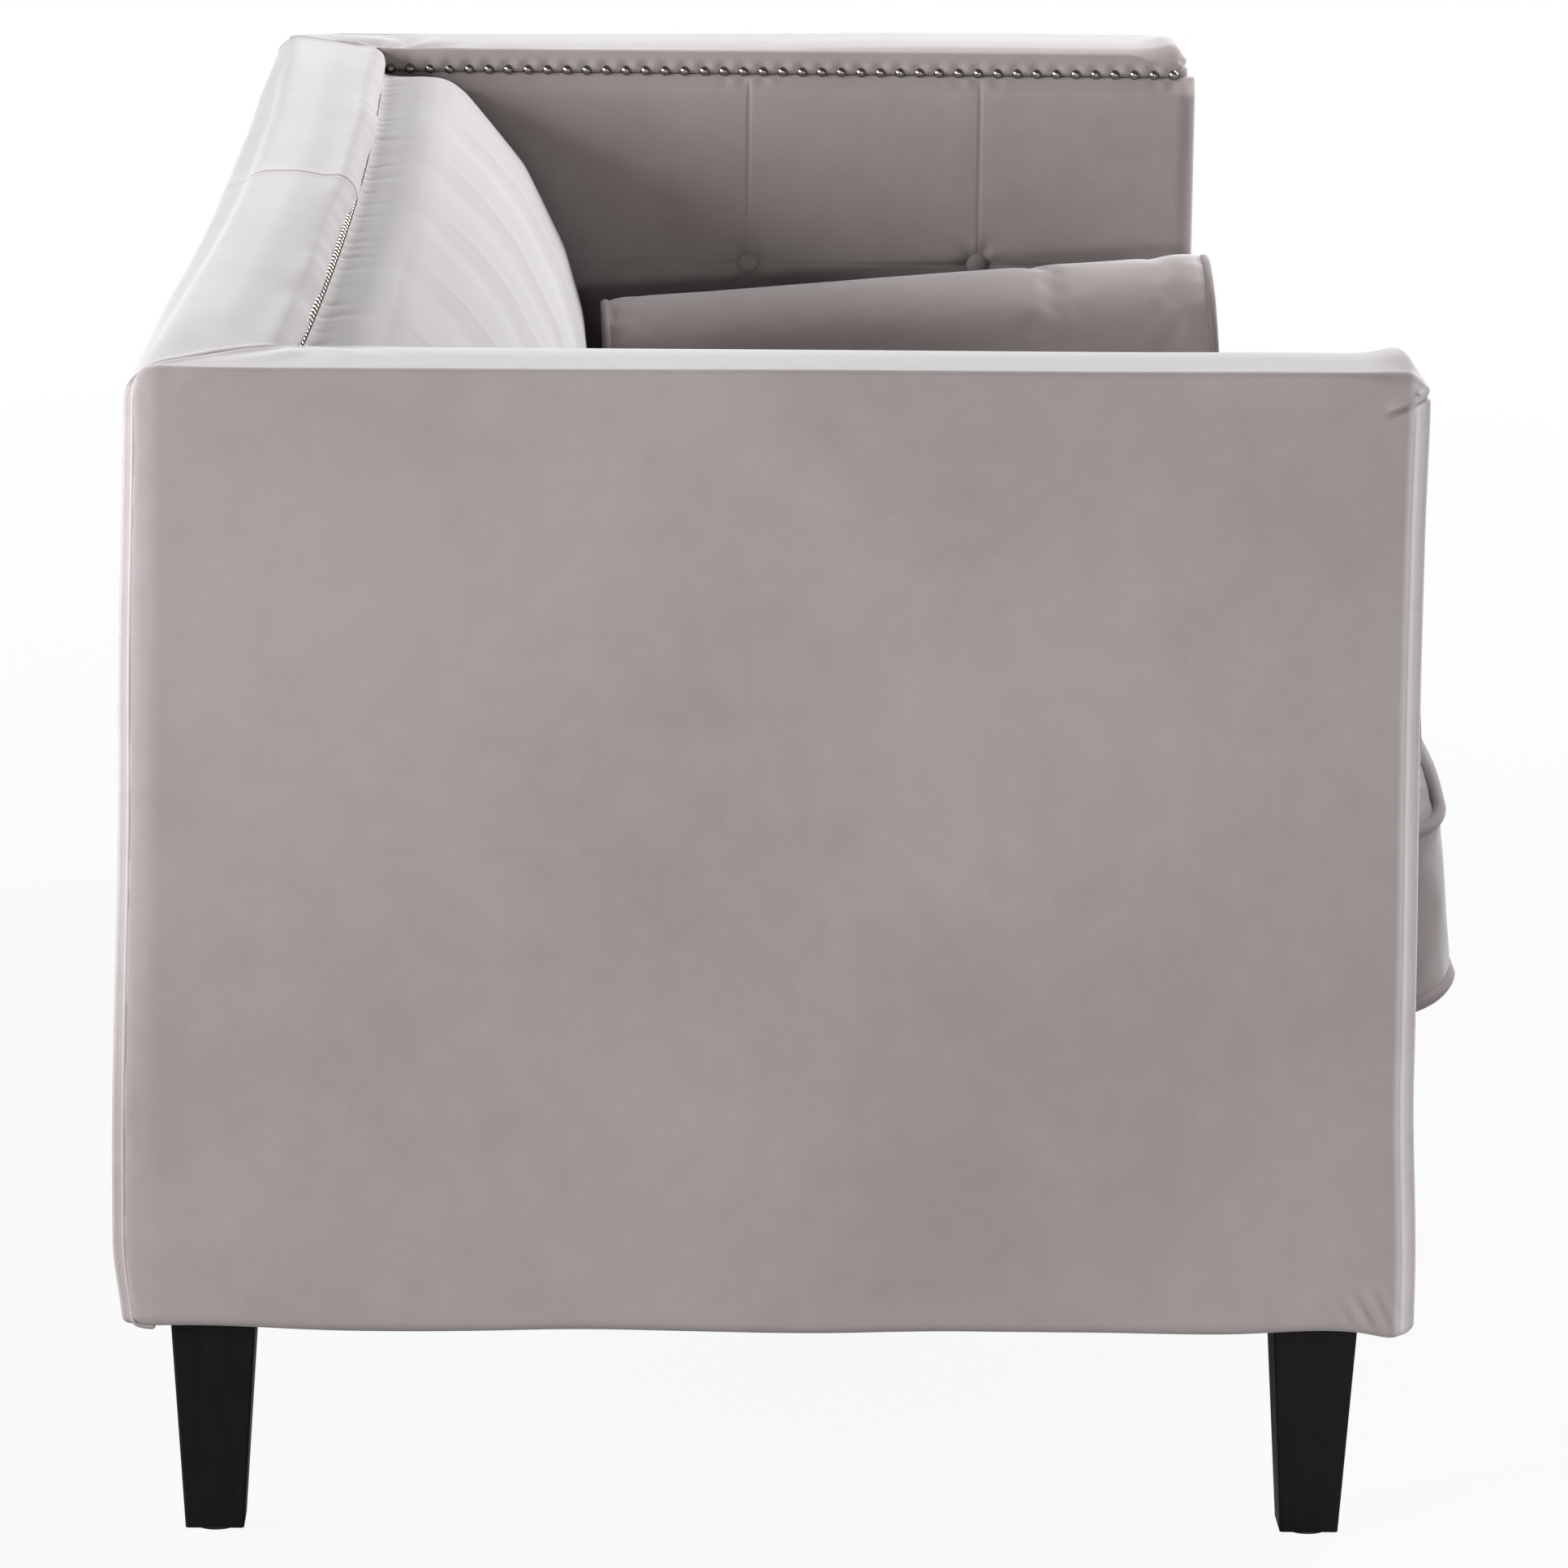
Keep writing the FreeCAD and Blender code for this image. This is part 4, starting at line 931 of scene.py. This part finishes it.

# %% [markdown]
# Piping is a cord in a strip of the same velvet, sewn into the seam, but its colour is painted
# darker:
# painted shade on the cord. A tube along the pinned seam is all it needs, with a slight unevenness
# from the sewing.

# %% Piping
def tube(path, radius, up, seed, sides=14):
    """A closed tube along a loop of points, a little uneven."""
    ahead = np.roll(path, -1, 0) - np.roll(path, 1, 0)
    ahead /= np.linalg.norm(ahead, axis=1, keepdims=True)
    side = np.cross(ahead, up)
    side /= np.linalg.norm(side, axis=1, keepdims=True)
    rim = np.cross(side, ahead)
    turn = np.linspace(0, 2 * math.pi, sides + 1)[None, :, None]
    run = np.arange(len(path))[:, None]
    size = (radius * (1 - 0.03 * (1 + drift(run, 0 * run, 4, seed))))[..., None]
    grid = path[:, None] + size * (np.cos(turn) * side[:, None] + np.sin(turn) * rim[:, None])
    return np.concatenate([grid, grid[:1]])


def seam_loop(height):
    """The seam of a cushion as evenly spaced points."""
    around = np.linspace(-1, 1, 160)[:-1]
    x = np.concatenate([around, 0 * around + 1, -around, 0 * around - 1]) * HALF_X
    v = np.concatenate([0 * around - 1, around, 0 * around + 1, -around]) * HALF_V
    x, v = plan(x, v)
    share = height / BORDER
    loop = np.stack([x, v, height - corner_drop(x, v) * share - overhang(x, v) * (1 - share)], -1)
    closed = np.concatenate([loop, loop[:1]])
    span = np.concatenate([[0], np.cumsum(np.linalg.norm(np.diff(closed, axis=0), axis=1))])
    at = np.linspace(0, span[-1], int(span[-1] / 5.0), endpoint=False)
    return np.stack([np.interp(at, span, closed[:, k]) for k in range(3)], -1)


for place_name, (x_middle, turned, seed) in CUSHIONS.items():
    loops = Patchwork()
    for height in (0.0, BORDER):
        path = seam_loop(height) + [x_middle, MID_V, BASE]
        loops.add(on_seat(tube(path, PIPE, (0, 0, 1.0), seed + int(height))))
    made = loops.piece(place_name + "_seat_welt", shaded_welt_velvet, place_name + "_cushion")
    stands_for(made, "piping", place_name + "_seat_piping", fill=1.0)

# %% [markdown]
# A bolster is a stuffed tube with piped round ends, lying against the arm. It is simulated like the
# cushions, with both piped rings held, so the body stands a little fuller than its ends. Then it is
# pressed flat where it touches the cushion and the arm.

# %% Bolsters
BODY_R, END_R = 62.5, 56.0
B_X, B_W = -SEAT_HALF + BODY_R, BASE + BORDER + CROWN + 0.5 + BODY_R
B_HALF = 261.0                       # half of the length between its piped rings


def bolster_middle(gap):
    """Where a bolster lies along the seat, for its distance from the back."""
    rear = (BELLY - gap - 7.0 - SEAT_Y) / math.cos(PITCH)
    return rear - (B_W + BODY_R) * math.sin(PITCH) - B_HALF


def bolster_form(step=8.0):
    work = Patchwork()
    turn = np.linspace(0, 2 * math.pi, 57)

    def body(v, a):
        inner = np.clip((B_HALF - np.abs(v)) / 24, 0, 1)
        r = END_R + (BODY_R - END_R - 1.5) * np.sqrt(1 - (1 - inner) ** 2)
        return r * np.cos(a), v, r * np.sin(a)

    work.add(lattice(lines(-B_HALF, B_HALF, step, near=(-B_HALF, B_HALF), fine=3), turn, body))
    for s in (-1, 1):
        cap = lattice(np.linspace(0, 1, 10), turn, lambda k, a: (
            k * END_R * np.cos(a), s * (B_HALF + 4.0 * (1 - k ** 2)), k * END_R * np.sin(a)))
        work.add(cap, (0, s, 0))
    mesh = work.sew("bolster_form")
    points = np.array([p.co for p in mesh.vertices]) / MM
    rings = (np.abs(np.hypot(points[:, 0], points[:, 2]) - END_R) < 0.01)
    rings &= np.abs(np.abs(points[:, 1]) - B_HALF) < 0.01
    return mesh, inflate(mesh, rings, 3.0, 10.0, 0.006)


def bolster(name, end, gap, seed):
    x, v, w = bolster_points.T.copy()
    around, r = np.arctan2(w, x), np.hypot(x, w)
    inner, middle = B_HALF - np.abs(v), bolster_middle(gap)
    ripple = 0.6 * drift(v, around * 64, 80, seed)
    ripple += 0.5 * np.sin(around * 19 + seed) * bell(inner - 10, 13)
    r = np.minimum(r, BODY_R) + ripple * ramp(r, END_R - 8, END_R) * ramp(inner, 1, 10)
    x, w = r * np.cos(around), r * np.sin(around)
    x, w = np.maximum(x, -BODY_R + 0.2), np.maximum(w, -BODY_R + 0.2)
    v = np.clip(v, -B_HALF - 6.5, B_HALF + 6.5)
    points = on_seat(np.stack([x + B_X, v + middle, w + B_W], -1)) * [end, 1, 1]
    set_down(bolster_mesh, points, name + "_bolster_roll", name + "_bolster", name + "_bolster",
             end < 0, 0.9)
    rings = Patchwork()
    turn = np.linspace(0, 2 * math.pi, 96, endpoint=False)
    for v in (middle - B_HALF, middle + B_HALF):
        path = np.stack([B_X + END_R * np.cos(turn), 0 * turn + v, B_W + END_R * np.sin(turn)], -1)
        rings.add(on_seat(tube(path, PIPE, (0, 1.0, 0), seed)))
    welt = rings.piece(name + "_bolster_welt", shaded_welt_velvet, name + "_bolster", mirrored=end < 0)
    stands_for(welt, "piping", name + "_bolster_piping", fill=1.0)


bolster_mesh, bolster_points = bolster_form()
bolster("left", 1, 0.5, 81)
bolster("right", -1, 9.0, 87)

# %% [markdown]
# Under the cushions lies the platform: a thin pad, velvet for a hand's width at the front, where it
# might be seen, and plain cloth behind a seam. The border below it is velvet again. Both are
# modelled because they show as soon as a cushion is lifted.

# %% Platform and front border
def platform():
    work = Patchwork()
    seam, wide = 130.0, INNER - 1.0
    x, far = lines(-wide, wide, 11), (LIP + 40 - SEAT_Y) / math.cos(PITCH)
    v = lines(10.5, far, 10, near=(seam,), fine=1.5, reach=14)

    def top(x, v):
        sag = 1.2 + 0.8 * drift(x, v, 150, 91) + 2.0 * bell(v - seam, 2.5)
        sag = sag - 0.5 * bell(np.abs(v - seam) - 8, 5)
        return x, v, -sag - 5.0 * (1 - ramp(v, 10, 22)) - 4.0 * (1 - ramp(wide - np.abs(x), 0, 14))

    face = lattice(x, v, top)
    under = face * [1, 1, 0] + [0, 0, -24.5]
    work.slab(on_seat(face), on_seat(under), (0, 0, 1), (1, 0, 0), (0, 1, 0))
    made = work.piece("seat_platform", slot_finish["deck_cloth"])
    made.data.materials.append(grey_velvet)
    seam_y = on_seat((0, seam, 0))[1] * MM
    for panel in made.data.polygons:
        panel.material_index = int(panel.center.y < seam_y)
    stands_for(made, "deck_cloth", "seat_deck", fill=0.5)


def front_border():
    low = np.array([-INNER + 0.5, SEAT_Y, HEM])
    high = np.array([INNER - 0.5, SEAT_Y + 9.7, SEAT_Z - 1.0])
    soft = np.array([1.0, 4.5, 5.0])
    x, y = lines(low[0], high[0], 9), lines(low[1], high[1], 2.5)
    z = lines(low[2], high[2], 7, near=(low[2], high[2]), fine=1.5, reach=14)
    work = Patchwork()
    for grid, outward in ((lattice(x, z, lambda x, z: (x, low[1], z)), (0, -1, 0)),
                          (lattice(x, y, lambda x, y: (x, y, low[2])), (0, 0, -1)),
                          (lattice(x, y, lambda x, y: (x, y, high[2])), (0, 0, 1))):
        p, way = rounded(grid, low, high, soft, soft)
        x_at, height = p[..., 0], p[..., 2] - HEM
        full = 1.2 * ramp(height, 0, 45) * ramp(height, 180, 150)
        push = np.clip(-way[..., 1], 0, 1) * (0.7 * drift(x_at, height, 130, 95) + full)
        hang = -1.5 + 0.9 * np.sin(x_at / 41.0) + 0.8 * drift(x_at, 0 * x_at, 60, 96)
        p = p + way * push[..., None]
        p[..., 2] += ramp(height, 60, 5) * hang
        work.add(p, outward)
    made = work.piece("front_apron", grey_velvet, wadding=2.0)
    stands_for(made, "velvet", "front_border", fill=0.7)


platform()
front_border()

# %% [markdown]
# A black cloth closes the underside. It is one flat sheet, stapled to the rails with a little slack
# and cut out round the legs.

# %% Dust cover
def dust_sheet():
    leg_x, half_hole = np.abs(cad("leg_front_left")[:, 0].mean()), 27.3
    wide, near, far = HALF - 12, SEAT_Y + 12, REAR - 12

    def with_holes(grid, legs):
        return np.unique(np.concatenate([grid] + [[h - half_hole, h + half_hole] for h in legs]))

    x = with_holes(lines(-wide, wide, 16), (-leg_x, leg_x))
    y = with_holes(lines(near, far, 16), LEG_Y)

    def slack(x, y):
        hang = 2.2 * (1 - (x / wide) ** 4) * (1 - ((2 * y - near - far) / (far - near)) ** 4)
        return x, y, HEM + 0.9 - hang - 0.4 * drift(x, y, 120, 99) * ramp(hang, 0, 1)

    grid = lattice(x, y, slack)
    work = Patchwork()
    work.add(grid, (0, 0, -1))
    middle = (grid[:-1, :-1] + grid[1:, 1:]) / 2
    cut = np.zeros(middle.shape[:2], bool)
    beside = np.abs(np.abs(middle[..., 0]) - leg_x) < half_hole
    for leg_y in LEG_Y:
        cut |= beside & (np.abs(middle[..., 1] - leg_y) < half_hole)
    work.quads[0] = work.quads[0][~cut.ravel()]
    made = work.piece("underside_cloth", slot_finish["dust_cloth"])
    stands_for(made, "dust_cloth", "dust_cover")
    flat = (2 * wide * MM, (far - near) * MM)
    flat[0] * flat[1] - 16 * (half_hole * MM) ** 2


dust_sheet()

# %% [markdown]
# A row of topstitching holds the seam allowance flat beside each rear seam. Each stitch is a short
# length of thread on the cloth, so it is placed with the same functions that shaped the cover.

# %% Topstitching
STITCH_IN, STITCH_APART = 21.0, 5.2  # from the corner, and from one stitch to the next


def stitch_rows():
    work = Patchwork()
    turn = np.linspace(0, 2 * math.pi, 7)[None, :, None]
    size = np.array([0.12, 0.42, 0.12])[:, None, None]
    for end in (-1, 1):
        for z in np.arange(HEM + 13, TOP - 16, STITCH_APART):
            ends = np.array([[end * (HALF - STITCH_IN), REAR, z + dz] for dz in (-1.7, 0.0, 1.7)])
            p, way = rounded(ends, BACK_LOW, BACK_HIGH, *edge_softness(ends, *BACK_SOFT))
            p = back_softness(p, way) + way * np.array([[-0.2], [0.35], [-0.2]])
            side = np.cross(p[2] - p[0], way[1])
            side = side / np.linalg.norm(side)
            work.add(p[:, None] + size * (np.cos(turn) * side + np.sin(turn) * way[1]))
    thread = speckled("grey_thread", (0.20, 0.18, 0.18), (0.34, 0.31, 0.31), 0.6)
    made = work.piece("rear_topstitch", thread)


stitch_rows()

# %% [markdown]
# A pale floor and a bright, soft studio: one broad lamp high above the far front, one at the front
# and one at the back, and two weaker ones at the camera's end for the near arm and its front edge.
# The floor and the surroundings are white only to the camera, which gives a blank background
# without throwing extra light on the velvet. Near the sofa the floor keeps a little of its shadow.

# %% Studio
def soft_lamp(name, place, aim, size, watts):
    lamp = bpy.data.lights.new(name, "AREA")
    lamp.shape = "RECTANGLE"
    lamp.size, lamp.size_y = size
    lamp.energy = watts
    stand = bpy.data.objects.new(name, lamp)
    bpy.context.collection.objects.link(stand)
    stand.location = place
    stand.rotation_euler = (Vector(aim) - Vector(place)).to_track_quat("-Z", "Y").to_euler()


LAMPS = (
    ("key", (-3.4, 2.6, 1.35), (-0.5, 0, 0.5), (1.2, 1.2), 100.0),
    ("overhead", (2.5, -2.8, 5.1), (0.2, 0, 0.5), (2.0, 2.6), 445.0),
    ("front_side", (2.0, -3.8, 1.9), (0, 0.1, 0.5), (2.0, 1.6), 130.0),
    ("rear_side", (-0.5, 3.6, 1.6), (0, 0.4, 0.6), (2.6, 1.6), 190.0),
    ("low_fill", (-4.2, -1.7, 0.4), (-1.0, 0, 0.5), (2.6, 0.6), 62.0),
)
for lamp in LAMPS:
    soft_lamp(*lamp)

world = bpy.data.worlds.new("studio")
bpy.context.scene.world = world
world.use_nodes = True
AMBIENT = 0.10
seen = Wire(world.node_tree).node("LightPath", out="Is Camera Ray")
glow = world.node_tree.nodes["Background"]
glow.inputs["Color"].default_value = (1, 1, 1, 1)
feed(glow, Strength=AMBIENT + seen * (1 - AMBIENT))

bpy.ops.mesh.primitive_plane_add(size=60.0, location=(0, 0, -0.0005))
floor = bpy.context.object
floor.name = "floor"
paper = bpy.data.materials.new("white_floor")
paper.use_nodes = True
paper.node_tree.nodes.clear()
on_floor = Wire(paper.node_tree)
matte = on_floor.node("BsdfDiffuse", {}, {"Color": (0.32, 0.32, 0.32, 1)})
bright = on_floor.node("Emission", {}, {"Color": (1, 1, 1, 1), "Strength": 1.0})
seen = on_floor.node("LightPath", out="Is Camera Ray")
spot = on_floor.node("TexCoord", out="Object")
away = on_floor.node("VectorMath", {"operation": "LENGTH"}, {0: spot}, out="Value")
share = on_floor.node("MapRange", {}, {"Value": away, "From Min": 1.2, "From Max": 4.0,
                                       "To Min": 0.93, "To Max": 1.0})
blank = on_floor.node("MixShader", {}, {0: seen * share, 1: matte, 2: bright})
on_floor.node("OutputMaterial", {}, {"Surface": blank})
floor.data.materials.append(paper)
bpy.context.scene.view_settings.view_transform = "Standard"
print("studio:", len(LAMPS), "lamps, white floor")
